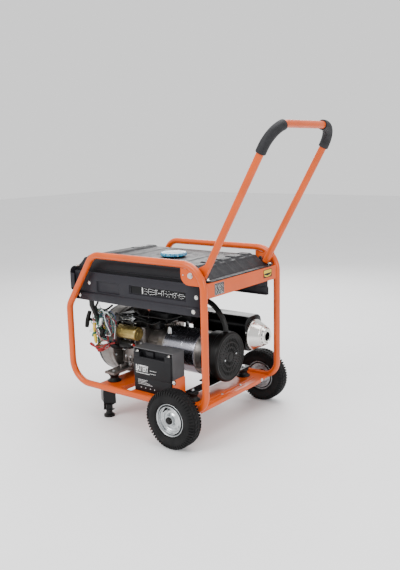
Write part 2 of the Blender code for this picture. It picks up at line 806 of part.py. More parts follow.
def make_handle():
    empty = make_empty("handle_pivot", PIVOT, ROOT)
    route = handle_route()
    handle = tube("handle", route, TUBE_R, "orange_paint", parent=empty)
    plate = rounded([((-0.015, -0.014), 0.012), ((0.034, -0.018), 0.006), ((0.058, 0.020), 0.006),
                     ((0.050, 0.040), 0.004), ((0.010, 0.020), 0.010), ((-0.015, 0.016), 0.012)], steps=3)
    for side, sign in SIDES:
        outer = HANDLE_HALF_WIDTH + TUBE_R
        low = min(sign * outer, sign * (outer - PIVOT_PLATE - 0.001))
        high = low + PIVOT_PLATE + 0.001
        fuse(handle, outline_plate(f"pivot_plate_{side}", plate, "Y", low, high, parent=empty))
        hole_name = f"pivot_plate_hole_{side}"
        ends = ((0, low - 0.01, 0), (0, high + 0.01, 0))
        cut(handle, rod(hole_name, *ends, PIVOT_BOLT_R + RUN, parent=empty))
    near = [route[1] - LEG_DIR * NEAR_GRIP_LEG, *route[1:NEAR_GRIP_STEPS + 2]]
    half = len(route) // 2
    far_start = route[half] - Vector((0, FAR_GRIP_BAR, 0))
    far = [far_start, *route[half:-1], route[-2] - LEG_DIR * FAR_GRIP_LEG]
    bore = tube("grip_bore", route, TUBE_R + GAP, parent=empty)
    for side, points in (("near", near), ("far", far)):
        cut(tube(f"grip_{side}", points, GRIP_R, "foam", parent=empty), bore)


def make_pivot_bolts():
    """Head outside the gusset, spacer between gusset and pivot plate, nut inside the plate."""
    plate_outer = HANDLE_HALF_WIDTH + TUBE_R
    plate_inner = plate_outer - PIVOT_PLATE - 0.001
    gusset_inner = LOOP_HALF_WIDTH - GUSSET_SHEET / 2
    gusset_outer = LOOP_HALF_WIDTH + GUSSET_SHEET / 2
    profile = [
        (plate_inner - 0.0045, 0),
        (plate_inner - 0.0045, 0.0085),
        (plate_inner - GAP, 0.0085),
        (plate_inner - GAP, PIVOT_BOLT_R),
        (plate_outer + GAP, PIVOT_BOLT_R),
        (plate_outer + GAP, 0.0080),
        (gusset_inner - GAP, 0.0080),
        (gusset_inner - GAP, PIVOT_BOLT_R),
        (gusset_outer + GAP, PIVOT_BOLT_R),
        (gusset_outer + GAP, 0.0085),
        (gusset_outer + 0.0055, 0.0085),
        (gusset_outer + 0.0055, 0),
    ]
    for side, sign in SIDES:
        points = [(sign * along, radius) for along, radius in profile]
        lathe(f"pivot_bolt_{side}", points, "zinc_steel", steps=16, axis="Y", centre=PIVOT)


# ---- Engine ----
def on_axis_box(name, x0, x1, y0, y1, z0, z1, slot=None, **place):
    """A box given about the crankshaft axis."""
    low = (x0, AXIS_Y + y0, AXIS_Z + z0)
    return box(name, low, (x1, AXIS_Y + y1, AXIS_Z + z1), slot, **place)


def shaft_rod(name, x0, x1, radius, slot=None, segments=24, offset=0.0, **place):
    z = AXIS_Z + offset
    return rod(name, (x0, AXIS_Y, z), (x1, AXIS_Y, z), radius, slot, segments=segments, **place)


def cylinder_box(name, start, end, half_x, half_across, slot=None, lift=0.0):
    """A box lying along the tilted cylinder axis, from start to end outward from the crankshaft."""
    middle_x = (CRANKCASE_X0 + CRANKCASE_X1) / 2
    low = (middle_x - half_x, start, lift - half_across)
    high = (middle_x + half_x, end, lift + half_across)
    centre = (0, AXIS_Y, AXIS_Z)
    return box(name, low, high, slot, location=centre, rotation=(CYLINDER_TILT, 0, 0))


def make_crankcase():
    bottom = MOUNT_TOP - AXIS_Z
    case = on_axis_box("crankcase", CRANKCASE_X0, CRANKCASE_X1, -CRANKCASE_NEAR, CRANKCASE_FAR,
                       bottom, CRANKCASE_TOP, "cast_aluminium")
    bevel(case, 0.012)
    reach = MOUNT_Y + MOUNT_R
    foot_x1 = RECOIL_MOUNT_X + MOUNT_R
    foot_top = bottom + FOOT_PLATE
    fuse(case, on_axis_box("crankcase_foot", CRANKCASE_X0, foot_x1, -reach, reach, bottom, foot_top))
    wall = CRANKCASE_WALL
    x0 = CRANKCASE_X0 + wall
    x1 = CRANKCASE_X1 - wall
    near = wall - CRANKCASE_NEAR
    far = CRANKCASE_FAR - wall - 0.008
    cavity = on_axis_box("crankcase_cavity", x0, x1, near, far, foot_top + wall, CRANKCASE_TOP - wall)
    bore = shaft_rod("crankcase_bore", CRANKCASE_X0 - 0.01, CRANKCASE_X1 + 0.01, SHAFT_R + RUN)
    deck = cylinder_box("crankcase_deck", CYLINDER_START, 0.25, 0.08, 0.08)
    cut(case, cavity, bore, deck)


def make_cylinder():
    start = CYLINDER_START + GAP
    half = CYLINDER_HALF
    base_end = start + 0.008
    cylinder = cylinder_box("cylinder", start, base_end, half - 0.002, half - 0.006, "cast_aluminium")
    middle_x = (CRANKCASE_X0 + CRANKCASE_X1) / 2
    place = {"location": (0, AXIS_Y, AXIS_Z), "rotation": (CYLINDER_TILT, 0, 0)}
    core = rod("cylinder_core", (middle_x, start + 0.004, 0), (middle_x, HEAD_START + 0.004, 0),
               CYLINDER_CORE_R, segments=24, **place)
    fins = []
    for index in range(FIN_COUNT):
        at = start + 0.014 + FIN_PITCH * index
        fins.append(cylinder_box(f"fin_{index}", at, at + FIN_THICKNESS, half, half))
    head = cylinder_box("cylinder_head", HEAD_START, HEAD_START + HEAD_LENGTH, half, half)
    fuse(cylinder, core, *fins, head)
    top = HEAD_START + HEAD_LENGTH + GAP
    end = top + VALVE_COVER_LENGTH
    cover = cylinder_box("valve_cover", top, end, half - 0.010, half - 0.016, "cast_aluminium")
    bevel(cover, 0.006)


def make_fan_housing():
    back = CRANKCASE_X0 - 2 * GAP
    front = back - FAN_LENGTH
    r = FAN_R
    t = FAN_SHEET
    centre = (0, AXIS_Y, AXIS_Z)
    profile = [(front, r), (back, r), (back, 0.062), (back - t, 0.062), (back - t, r - t), (front, r - t)]
    lathe("fan_housing", profile, "black_paint", steps=FINE_STEPS, centre=centre)
    face = front - GAP
    end = face - RECOIL_DEPTH
    outer = [(face, r), (face - 0.015, r - 0.002), (face - 0.027, r - 0.022), (end, r - 0.052), (end, 0)]
    inner = [(end + t, 0), (end + t, r - 0.053), (face - 0.0255, r - 0.0235)]
    inner += [(face - 0.0135, r - 0.0045), (face, r - t)]
    lathe("recoil_cover", outer + inner, "black_paint", steps=FINE_STEPS, centre=centre)
    return front, back


def make_crankshaft(fan_front, fan_back):
    empty = make_empty("crankshaft_axis", (0, AXIS_Y, AXIS_Z), ROOT)
    wall = CRANKCASE_WALL
    web0 = CRANKCASE_X0 + wall + 0.006
    web1 = CRANKCASE_X1 - wall - 0.006
    end = STATOR_X0 + STATOR_LENGTH + BRACKET_LENGTH - 0.002
    place = {"parent": empty}
    shaft = rod("crankshaft", (web1 - 0.004, 0, 0), (end, 0, 0), SHAFT_R, "steel", segments=24, **place)
    snout_x0 = fan_front + 0.004
    snout = rod("crank_snout", (snout_x0, 0, 0), (web0 + 0.004, 0, 0), SHAFT_R, segments=24, **place)
    pin = rod("crank_pin", (web0, 0, CRANK_THROW), (web1, 0, CRANK_THROW), 0.015, segments=20, **place)
    thick = WEB_THICKNESS
    left = rod("crank_web_left", (web0, 0, 0), (web0 + thick, 0, 0), WEB_R, segments=32, **place)
    right = rod("crank_web_right", (web1 - thick, 0, 0), (web1, 0, 0), WEB_R, segments=32, **place)
    fuse(shaft, right, pin, left, snout)
    bore = SHAFT_R + GAP
    disc = fan_back - 0.022
    flywheel = [
        (disc - 0.026, 0.032),
        (disc - 0.026, bore),
        (disc, bore),
        (disc, 0.034),
        (disc - 0.004, 0.036),
        (disc - 0.004, FLYWHEEL_R - 0.012),
        (disc, FLYWHEEL_R - 0.012),
        (disc, FLYWHEEL_R),
        (disc - 0.022, FLYWHEEL_R),
        (disc - 0.022, FLYWHEEL_R - 0.012),
        (disc - 0.012, FLYWHEEL_R - 0.014),
        (disc - 0.012, 0.036),
    ]
    lathe("flywheel", flywheel, "cast_aluminium", steps=COARSE_STEPS, parent=empty)
    start = STATOR_X0 + 0.010
    stop = STATOR_X0 + STATOR_LENGTH - 0.010
    rotor = [(start, ROTOR_R), (stop, ROTOR_R), (stop, bore), (start, bore)]
    lathe("rotor", rotor, "steel", steps=COARSE_STEPS, parent=empty)


def make_recoil_handle():
    root = Vector((RECOIL_X, AXIS_Y + RECOIL_ROPE_Y, AXIS_Z + RECOIL_ROPE_Z))
    empty = make_empty("recoil_handle_axis", root, ROOT)
    end = PULL * RECOIL_STEM
    across = Vector((0, math.sin(RECOIL_PULL), math.cos(RECOIL_PULL))) * (RECOIL_BAR / 2)
    handle = rod("recoil_handle", end - across, end + across, RECOIL_BAR_R, "black_plastic", parent=empty)
    bevel(handle, 0.003)
    rope = rod("recoil_rope", (0, 0, 0), end, 0.0030, segments=12, parent=empty)
    neck = rod("recoil_neck", end * 0.35, end, 0.0065, segments=12, parent=empty)
    fuse(handle, neck, rope)


def make_starter():
    y = AXIS_Y + STARTER_Y
    z = AXIS_Z + STARTER_Z
    r = STARTER_R
    x0 = STARTER_X0
    x1 = x0 + STARTER_LENGTH
    profile = [(x0, 0), (x0, r - 0.004), (x0 + 0.004, r), (x1 - 0.030, r), (x1 - 0.030, r - 0.001)]
    profile += [(x1 - 0.006, r - 0.001), (x1, r - 0.006), (x1, 0)]
    starter = lathe("starter_motor", profile, "gold_zinc", steps=28, centre=(0, y, z))
    face = AXIS_Y - CRANKCASE_NEAR - GAP
    fuse(starter, box("starter_bracket", (x0 + 0.030, y, z - 0.016), (x0 + 0.075, face, z + 0.014)))


def make_carburettor():
    head_x = (CRANKCASE_X0 + CRANKCASE_X1) / 2 - CYLINDER_HALF - GAP
    x0 = head_x - 0.050
    y = AXIS_Y + 0.165
    z0 = AXIS_Z + 0.059
    carb = box("carburettor", (x0, y - 0.020, z0), (head_x, y + 0.020, z0 + 0.050), "cast_aluminium")
    bevel(carb, 0.004, 1)
    filter_z = AXIS_Z + FAN_R + 0.003
    intake_x = x0 + 0.022
    fuse(carb, rod("carburettor_intake", (intake_x, y, z0 + 0.03), (intake_x, y, filter_z - GAP), 0.018))
    air = box("air_filter", (x0 - 0.040, y - 0.080, filter_z), (x0 + 0.120, y + 0.035, filter_z + 0.056),
              "black_plastic")
    bevel(air, 0.008)
    choke_at = (x0 + 0.022, y + 0.020 + GAP, z0 + 0.032)
    choke = make_empty("choke_axis", choke_at, ROOT)
    lever_points = ((-0.006, -0.006), (0.006, -0.006), (0.006, 0.036), (-0.006, 0.036))
    lever = [(point, 0.005) for point in lever_points]
    outline_plate("choke_lever", rounded(lever, steps=3), "Y", 0, 0.003, "black_plastic", parent=choke)
    tap = make_empty("fuel_tap_axis", (x0 - GAP, y, z0 + 0.018), ROOT)
    down = [(point[0], -point[1]) for point in rounded(lever, steps=3)]
    outline_plate("fuel_tap", down, "X", -0.006, 0, "black_plastic", parent=tap)


def make_oil_cap():
    at = (CRANKCASE_X1 - 0.028, AXIS_Y - CRANKCASE_NEAR - GAP, AXIS_Z - 0.058)
    empty = make_empty("oil_cap_axis", at, ROOT)
    profile = [(0, 0), (0, 0.017), (-0.005, 0.017), (-0.006, 0.013), (-0.017, 0.012), (-0.018, 0)]
    lathe("oil_cap", profile, "black_plastic", steps=20, axis="Y", parent=empty)


# ---- Alternator ----
def make_alternator():
    centre = (0, AXIS_Y, AXIS_Z)
    adapter0 = CRANKCASE_X1 + GAP
    adapter1 = STATOR_X0 - GAP
    hole = SHAFT_R + RUN
    adapter = [
        (adapter0, 0.066),
        (adapter0 + 0.012, 0.066),
        (adapter1 - 0.030, STATOR_R - 0.004),
        (adapter1, STATOR_R - 0.004),
        (adapter1, STATOR_R - 0.010),
        (adapter1 - 0.028, STATOR_R - 0.010),
        (adapter0 + 0.020, 0.060),
        (adapter0 + 0.020, hole),
        (adapter0, hole),
    ]
    lathe("alternator_adapter", adapter, "cast_aluminium", steps=FINE_STEPS, centre=centre)
    x1 = STATOR_X0 + STATOR_LENGTH
    inner = ROTOR_R + ROTOR_AIR
    stator = [(STATOR_X0, STATOR_R), (x1, STATOR_R), (x1, inner), (STATOR_X0, inner)]
    lathe("stator", stator, "steel", steps=FINE_STEPS, centre=centre)
    b0 = x1 + GAP
    b1 = b0 + BRACKET_LENGTH
    profile = [
        (b0, STATOR_R - 0.001),
        (b1, STATOR_R - 0.001),
        (b1, hole),
        (b1 - 0.009, hole),
        (b1 - 0.009, STATOR_R - 0.006),
        (b0, STATOR_R - 0.006),
    ]
    bracket = lathe("alternator_end_bracket", profile, "cast_aluminium", steps=FINE_STEPS, centre=centre)
    reach = MOUNT_Y + MOUNT_R
    foot_x0 = HANDLE_MOUNT_X - MOUNT_R
    foot_top = MOUNT_TOP + 0.007
    foot_x1 = HANDLE_MOUNT_X + MOUNT_R
    foot = box("alternator_foot", (foot_x0, -reach, MOUNT_TOP), (foot_x1, reach, foot_top))
    arm_low = (b0 + 0.006, -0.060, MOUNT_TOP + 0.001)
    arm = box("alternator_arm", arm_low, (foot_x0 + 0.008, 0.060, foot_top - 0.001))
    web_top = AXIS_Z - STATOR_R + 0.004
    web = box("alternator_web", (b0 + 0.008, -0.045, foot_top - 0.003), (b1 - 0.010, 0.045, web_top))
    fuse(bracket, web, arm, foot)
    c0 = b1 + GAP
    c1 = c0 + COVER_LENGTH
    t = COVER_SHEET
    r = COVER_R
    cover = [
        (c0, COVER_NECK_R - 0.002),
        (c1 - 0.036, COVER_NECK_R),
        (c1 - 0.032, r),
        (c1 - 0.006, r),
        (c1, r - 0.007),
        (c1, 0),
        (c1 - t, 0),
        (c1 - t, r - 0.009),
        (c1 - 0.008, r - t),
        (c1 - 0.0315, r - t),
        (c1 - 0.0345, COVER_NECK_R - t),
        (c0, COVER_NECK_R - 0.002 - t),
    ]
    lathe("alternator_end_cover", cover, "black_plastic", steps=FINE_STEPS, centre=centre)


def make_muffler():
    hy = MUFFLER_HALF_WIDTH
    hz = MUFFLER_HALF_HEIGHT
    x0 = MUFFLER_X0
    x1 = x0 + MUFFLER_LENGTH

    def section(shrink):
        y0 = MUFFLER_Y - hy + shrink
        y1 = MUFFLER_Y + hy - shrink
        z0 = MUFFLER_Z - hz + shrink
        z1 = MUFFLER_Z + hz - shrink
        r = MUFFLER_CORNER - shrink
        return rounded([((y0, z0), r), ((y1, z0), r), ((y1, z1), r), ((y0, z1), r)], steps=4)

    muffler = outline_plate("muffler", section(0), "X", x0, x1, "black_paint")
    hollow = outline_plate("muffler_hollow", section(SHEET), "X", x0 + SHEET, x1 - SHEET)
    outlet = rod("muffler_outlet", (x1 - 0.02, MUFFLER_Y, CONE_Z), (x1 + 0.02, MUFFLER_Y, CONE_Z), 0.022)
    port_y = MUFFLER_Y - 0.006
    port_z = MUFFLER_Z + 0.010
    head_x = (CRANKCASE_X0 + CRANKCASE_X1) / 2 + CYLINDER_HALF + GAP
    pipe = rod("exhaust_pipe", (head_x, port_y, port_z), (x0 + 0.001, port_y, port_z), EXHAUST_R)
    cut(muffler, hollow, outlet)
    fuse(muffler, pipe)
    t = SHEET
    base = x1 + GAP
    tip = base + CONE_LENGTH
    neck = tip - 0.014
    outer = [(base, CONE_R), (base + 0.010, CONE_R), (neck, CONE_TIP_R + 0.010), (tip, CONE_TIP_R)]
    inner = [(tip, CONE_HOLE_R), (tip - t, CONE_HOLE_R), (tip - t, CONE_TIP_R - t)]
    inner += [(neck, CONE_TIP_R + 0.008), (base + 0.010, CONE_R - t), (base, CONE_R - t)]
    lathe("spark_arrestor", outer + inner, "steel", steps=COARSE_STEPS, centre=(0, MUFFLER_Y, CONE_Z))


# ---- Tank ----
def make_tank():
    seam = CROSSBAR_TOP + GAP
    bottom = TANK_TOP - TANK_DEPTH
    basin_x1 = LOOP_HALF_LENGTH + CROSSBAR_OFFSET - CROSSBAR_DEPTH - TANK_MARGIN

    def section(shrink):
        r = TANK_CORNER - shrink
        x0 = TANK_X0 + shrink
        x1 = TANK_X1 - shrink
        edge = seam + TANK_SEAM - shrink * 0.4
        top = TANK_TOP - shrink
        low_x1 = basin_x1 - shrink
        corners = [
            ((x0, bottom + shrink), r),
            ((low_x1, bottom + shrink), r),
            ((low_x1, edge - 0.002), 0),
            ((x1, edge), 0.004),
            ((x1 - TANK_SLOPE_RUN, top), r),
            ((x0 + TANK_RECOIL_RUN, top), r),
            ((x0, edge), 0.004),
        ]
        return rounded(corners, steps=3)

    half = TANK_HALF_WIDTH
    tank = bevel(outline_plate("fuel_tank", section(0), "Y", -half, half, "black_paint"), 0.014, 3, 60)
    inner = half - TANK_WALL
    hollow = bevel(outline_plate("tank_hollow", section(TANK_WALL), "Y", -inner, inner), 0.012, 3, 60)
    edge = half + FLANGE_WIDTH
    flange_x1 = LOOP_HALF_LENGTH + CROSSBAR_OFFSET - 0.001
    flange_x0 = TANK_X0 - FLANGE_WIDTH
    flange = box("tank_flange", (flange_x0, -edge, seam), (flange_x1, edge, seam + TANK_SEAM))
    top = TANK_TOP
    x = CAP_X
    y = CAP_Y
    neck = rod("filler_neck", (x, y, top - 0.004), (x, y, top + NECK_HEIGHT), NECK_R, segments=32)
    bore = rod("filler_bore", (x, y, top - 0.03), (x, y, top + 0.03), NECK_BORE_R, segments=32)
    bands = []
    reach = half - BAND_SIDE_INSET
    handle_band_x0 = TANK_X1 - HANDLE_BAND_INSET - BAND_LENGTH
    for index, x0 in enumerate((TANK_X0 + RECOIL_BAND_INSET, handle_band_x0)):
        low = (x0, -reach, top - 0.001)
        band = box(f"tank_band_{index}", low, (x0 + BAND_LENGTH, reach, top + BAND_HEIGHT))
        bands.append(bevel(band, 0.003, 1))
    fuse(tank, flange, neck, *bands)
    cut(tank, hollow, bore)
    z0 = 0.003
    z1 = z0 + CAP_HEIGHT
    lid = NECK_HEIGHT + GAP
    empty = make_empty("fuel_cap_axis", (CAP_X, CAP_Y, top), ROOT)
    inner_r = NECK_R + 0.0008
    profile = [(z0, inner_r), (z0, CAP_R), (z1 - 0.003, CAP_R), (z1, CAP_R - 0.005), (z1, 0)]
    profile += [(lid, 0), (lid, inner_r)]
    lathe("fuel_cap", profile, "blue_plastic", steps=COARSE_STEPS, axis="Z", parent=empty)


# ---- Battery ----
def make_battery():
    tray_z = RAIL_TOP + GAP
    tray_y0 = -INNER_Y
    tray_y1 = BATTERY_Y0 + BATTERY_WIDTH + 0.016
    tray_x0 = BATTERY_X0 - TRAY_MARGIN
    tray_top = tray_z + RAIL_SHEET
    tray = box("battery_tray", (tray_x0, tray_y0, tray_z), (TRAY_X1, tray_y1, tray_top), "orange_paint")
    base = tray_top + GAP
    x0 = BATTERY_X0
    x1 = x0 + BATTERY_LENGTH
    y0 = BATTERY_Y0
    y1 = y0 + BATTERY_WIDTH
    top = base + BATTERY_HEIGHT
    battery = box("battery", (x0, y0, base), (x1, y1, top), "black_plastic")
    bevel(battery, 0.003, 1)
    bracket_y1 = BRACKET_Y + RAIL_SHEET
    tab_low = (TRAY_X1 - 0.001, tray_y0, tray_z)
    tab = box("battery_tray_tab", tab_low, (BRACKET_X1, bracket_y1, tray_top))
    bracket_x0 = x1 + 0.0015
    plate = [
        (bracket_x0, base - 0.002),
        (BRACKET_X1, base - 0.002),
        (BRACKET_X1, base + BRACKET_HIGH_HEIGHT),
        (bracket_x0, base + BRACKET_LOW_HEIGHT),
    ]
    fuse(tray, tab, outline_plate("battery_bracket", plate, "Y", BRACKET_Y, bracket_y1))
    t = CLAMP_SHEET
    left = x0 - t / 2 - GAP
    right = x1 + t / 2 + GAP
    over = top + t / 2 + GAP
    profile = [(left, base), (left, over), (right, over), (right, base + 0.060)]
    strip("battery_clamp", profile, "Y", y0 + 0.008, y1 - 0.003, t, "grey_plastic")


# ---- Wiring ----
def make_wiring():
    """Cords run from points about the crankshaft axis to points inside and below a panel's edge."""
    conduit = [(x, y, AXIS_Z + z) for x, y, z in CONDUIT_AT_COVER]
    conduit += [(x, INNER_Y - inset, PANEL_BOTTOM - drop) for x, inset, drop in CONDUIT_AT_PANEL]
    tube("conduit", smooth_route(conduit, 0.02), CONDUIT_R, "rubber", resolution=3)
    harness = [(x, inset - INNER_Y, PANEL_BOTTOM - drop) for x, inset, drop in HARNESS_AT_PANEL]
    harness += [(x, y, AXIS_Z + z) for x, y, z in HARNESS_AT_ENGINE]
    tube("wiring_harness", smooth_route(harness, 0.02), HARNESS_R, "rubber", resolution=2)


# ---- Controls on the far panel ----
def make_controls():
    face = PANEL_FACE + GAP
    z = PANEL_BOTTOM + PANEL_STRIP_HEIGHT + (PANEL_HEIGHT - PANEL_STRIP_HEIGHT) / 2
    meter = box("voltmeter", (0.130, face, z - 0.022), (0.185, face + 0.008, z + 0.022), "black_plastic")
    bevel(meter, 0.003, 1)
    outlet = box("outlet", (-0.150, face, z - 0.026), (-0.030, face + 0.010, z + 0.026), "black_plastic")
    bevel(outlet, 0.004, 1)
    breaker = make_empty("breaker_axis", (0.060, face + 0.0095, z), ROOT)
    up = (math.radians(25), 0, 0)
    lever = box("breaker_lever", (-0.006, -0.006, -0.005), (0.006, 0.009, 0.005), "red_plastic",
                parent=breaker, rotation=up)
    bevel(lever, 0.001, 1)
    key = make_empty("ignition_axis", (0.235, face, z), ROOT)
    barrel = lathe("ignition_key", [(0, 0), (0, 0.013), (0.010, 0.012), (0.010, 0)], "steel", steps=20,
                   axis="Y", parent=key)
    fuse(barrel, box("key_bow", (-0.0015, 0.008, -0.010), (0.0015, 0.026, 0.010), parent=key))


def main():
    make_side_loops()
    make_gussets()
    make_crossbar()
    make_base_rails()
    make_side_panels()
    make_axle()
    make_legs()
    make_engine_mounts()
    make_wheels()
    make_handle()
    make_pivot_bolts()
    make_crankcase()
    make_cylinder()
    fan_front, fan_back = make_fan_housing()
    make_crankshaft(fan_front, fan_back)
    make_recoil_handle()
    make_starter()
    make_carburettor()
    make_oil_cap()
    make_alternator()
    make_muffler()
    make_tank()
    make_battery()
    make_wiring()
    make_controls()


main()
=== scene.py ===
"""The looks of the open-frame portable generator: materials, fine meshes, floor, light and camera."""
import json
import math
import random

import bmesh
import bpy
from mathutils import Euler, Matrix, Vector


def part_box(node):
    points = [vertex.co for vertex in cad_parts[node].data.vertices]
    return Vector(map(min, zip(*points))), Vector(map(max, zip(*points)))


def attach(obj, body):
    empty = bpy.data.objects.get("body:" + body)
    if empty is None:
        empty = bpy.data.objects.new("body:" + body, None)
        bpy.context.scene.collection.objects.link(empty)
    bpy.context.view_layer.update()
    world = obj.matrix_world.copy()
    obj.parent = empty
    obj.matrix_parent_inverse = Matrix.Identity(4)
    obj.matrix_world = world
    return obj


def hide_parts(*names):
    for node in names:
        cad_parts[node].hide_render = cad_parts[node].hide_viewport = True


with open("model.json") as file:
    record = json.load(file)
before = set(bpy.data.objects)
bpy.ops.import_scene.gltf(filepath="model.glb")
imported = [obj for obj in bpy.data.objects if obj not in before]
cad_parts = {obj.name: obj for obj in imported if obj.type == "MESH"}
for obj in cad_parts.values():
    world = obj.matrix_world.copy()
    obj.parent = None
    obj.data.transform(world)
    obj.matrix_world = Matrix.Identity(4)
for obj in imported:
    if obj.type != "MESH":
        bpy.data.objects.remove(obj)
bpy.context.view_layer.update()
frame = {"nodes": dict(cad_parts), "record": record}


# ---- The frame's own coordinates: x = 0 in the middle of the side loops, z = 0 on the floor ----
LOOP_LOW, LOOP_HIGH = (Vector(corner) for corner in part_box("side_loop_near"))
MID_X = (LOOP_LOW.x + LOOP_HIGH.x) / 2
SHIFT = Vector((MID_X, 0, 0))
TUBE_R = (LOOP_HIGH.y - LOOP_LOW.y) / 2
LOOP_X = (LOOP_HIGH.x - LOOP_LOW.x) / 2 - TUBE_R
LOOP_Y = -(LOOP_LOW.y + LOOP_HIGH.y) / 2
BASE_Z = LOOP_LOW.z + TUBE_R
TOP_Z = LOOP_HIGH.z - TUBE_R
SIDES = (("near", -1), ("far", 1))
LIFT = 0.0002


def at(x, y, z):
    return Vector((x, y, z)) + SHIFT


def joint(name):
    return next(entry for entry in frame["record"]["behaviour"]["joints"] if entry["name"] == name)


def local_box(node):
    low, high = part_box(node)
    return Vector(low) - SHIFT, Vector(high) - SHIFT


# ---- Camera ----
CAMERA_AT = (1.6707, -2.0260, 1.0179)
CAMERA_YAW = 37.16
CAMERA_PITCH = 11.06
CAMERA_ROLL = -1.32
CAMERA_LENS = 43.32


def make_camera():
    data = bpy.data.cameras.new("camera")
    data.lens = CAMERA_LENS
    data.sensor_width = 36
    camera = bpy.data.objects.new("camera", data)
    bpy.context.scene.collection.objects.link(camera)
    camera.location = at(*CAMERA_AT)
    turn = Euler((math.radians(90 - CAMERA_PITCH), 0, math.radians(CAMERA_YAW)), "XYZ").to_matrix()
    roll = Matrix.Rotation(math.radians(CAMERA_ROLL), 3, "Z")
    camera.rotation_euler = (turn @ roll).to_euler()
    bpy.context.scene.camera = camera


make_camera()


# ---- Materials ----
MATERIALS = {}


class Nodes:
    """A Principled material with short ways to add noise, mixes and bump."""

    def __init__(self, name, colour, rough, metal=0.0, **sockets):
        self.material = bpy.data.materials.new(name)
        self.material.use_nodes = True
        self.material.diffuse_color = (*colour, 1)
        self.tree = self.material.node_tree
        self.shader = self.tree.nodes["Principled BSDF"]
        self.shader.inputs["Base Color"].default_value = (*colour, 1)
        self.shader.inputs["Roughness"].default_value = rough
        self.shader.inputs["Metallic"].default_value = metal
        for socket, value in sockets.items():
            self.shader.inputs[socket.replace("_", " ")].default_value = value
        self.coords = self.add("ShaderNodeTexCoord").outputs["Object"]
        self.height = None
        MATERIALS[name] = self.material

    def add(self, kind, **settings):
        node = self.tree.nodes.new(kind)
        for key, value in settings.items():
            setattr(node, key, value)
        return node

    def link(self, source, target):
        self.tree.links.new(source, target)

    def stretched(self, scale):
        mapping = self.add("ShaderNodeMapping")
        mapping.inputs["Scale"].default_value = scale
        self.link(self.coords, mapping.inputs["Vector"])
        return mapping.outputs["Vector"]

    def noise(self, scale, detail=4.0, stretch=None, distortion=0.0):
        node = self.add("ShaderNodeTexNoise")
        node.inputs["Scale"].default_value = scale
        node.inputs["Detail"].default_value = detail
        node.inputs["Distortion"].default_value = distortion
        self.link(self.stretched(stretch) if stretch else self.coords, node.inputs["Vector"])
        return node.outputs["Fac"]

    def voronoi(self, scale, feature="F1"):
        node = self.add("ShaderNodeTexVoronoi", feature=feature)
        node.inputs["Scale"].default_value = scale
        self.link(self.coords, node.inputs["Vector"])
        return node.outputs["Distance"]

    def ramp(self, source, stops):
        node = self.add("ShaderNodeValToRGB")
        elements = node.color_ramp.elements
        while len(elements) < len(stops):
            elements.new(0.5)
        for element, (place, value) in zip(elements, stops):
            element.position = place
            element.color = (*value, 1) if isinstance(value, tuple) else (value, value, value, 1)
        self.link(source, node.inputs["Fac"])
        return node.outputs["Color"]

    def colour(self, source, stops):
        self.link(self.ramp(source, stops), self.shader.inputs["Base Color"])
        return self

    def rough(self, source, stops):
        self.link(self.ramp(source, stops), self.shader.inputs["Roughness"])
        return self

    def bump(self, source, strength, distance=0.001):
        node = self.add("ShaderNodeBump")
        node.inputs["Strength"].default_value = strength
        node.inputs["Distance"].default_value = distance
        self.link(source, node.inputs["Height"])
        if self.height is not None:
            self.link(self.height, node.inputs["Normal"])
        self.height = node.outputs["Normal"]
        self.link(self.height, self.shader.inputs["Normal"])
        return self


def shade(colour, factor):
    return tuple(channel * factor for channel in colour)


def paint(name, colour, rough, peel=0.05, coat=0.0, speck=0.0, specular=0.35):
    m = Nodes(name, colour, rough, Coat_Weight=coat, Coat_Roughness=0.12, Specular_IOR_Level=specular)
    m.colour(m.noise(9, 6), [(0.3, shade(colour, 0.88)), (0.7, shade(colour, 1.08))])
    m.rough(m.noise(40, 5), [(0.3, rough * 0.85), (0.7, min(1, rough * 1.25))])
    m.bump(m.noise(420, 3), peel, 0.0006)
    if speck:
        m.bump(m.noise(1500, 2), speck, 0.0003)
    return m.material


def metal(name, colour, rough, streak=None, cast=0.0, stain=0.8):
    m = Nodes(name, colour, rough, 1.0)
    m.colour(m.noise(22, 8), [(0.3, shade(colour, stain)), (0.65, colour), (0.8, shade(colour, 1.06))])
    source = m.noise(60, 4, stretch=streak) if streak else m.noise(80, 5)
    m.rough(source, [(0.3, rough * 0.75), (0.7, min(1, rough * 1.35))])
    if streak:
        m.bump(m.noise(300, 3, stretch=streak), 0.06, 0.0004)
    if cast:
        m.bump(m.noise(500, 6), cast, 0.0008)
    return m.material


def plastic(name, colour, rough, grain=0.08, scale=900, coat=0.0, specular=0.3):
    m = Nodes(name, colour, rough, Coat_Weight=coat, Coat_Roughness=0.2, Specular_IOR_Level=specular)
    m.colour(m.noise(14, 5), [(0.3, shade(colour, 0.82)), (0.7, shade(colour, 1.15))])
    m.rough(m.noise(30, 4), [(0.3, rough * 0.9), (0.7, min(1, rough * 1.15))])
    m.bump(m.noise(scale, 3), grain, 0.0004)
    return m.material


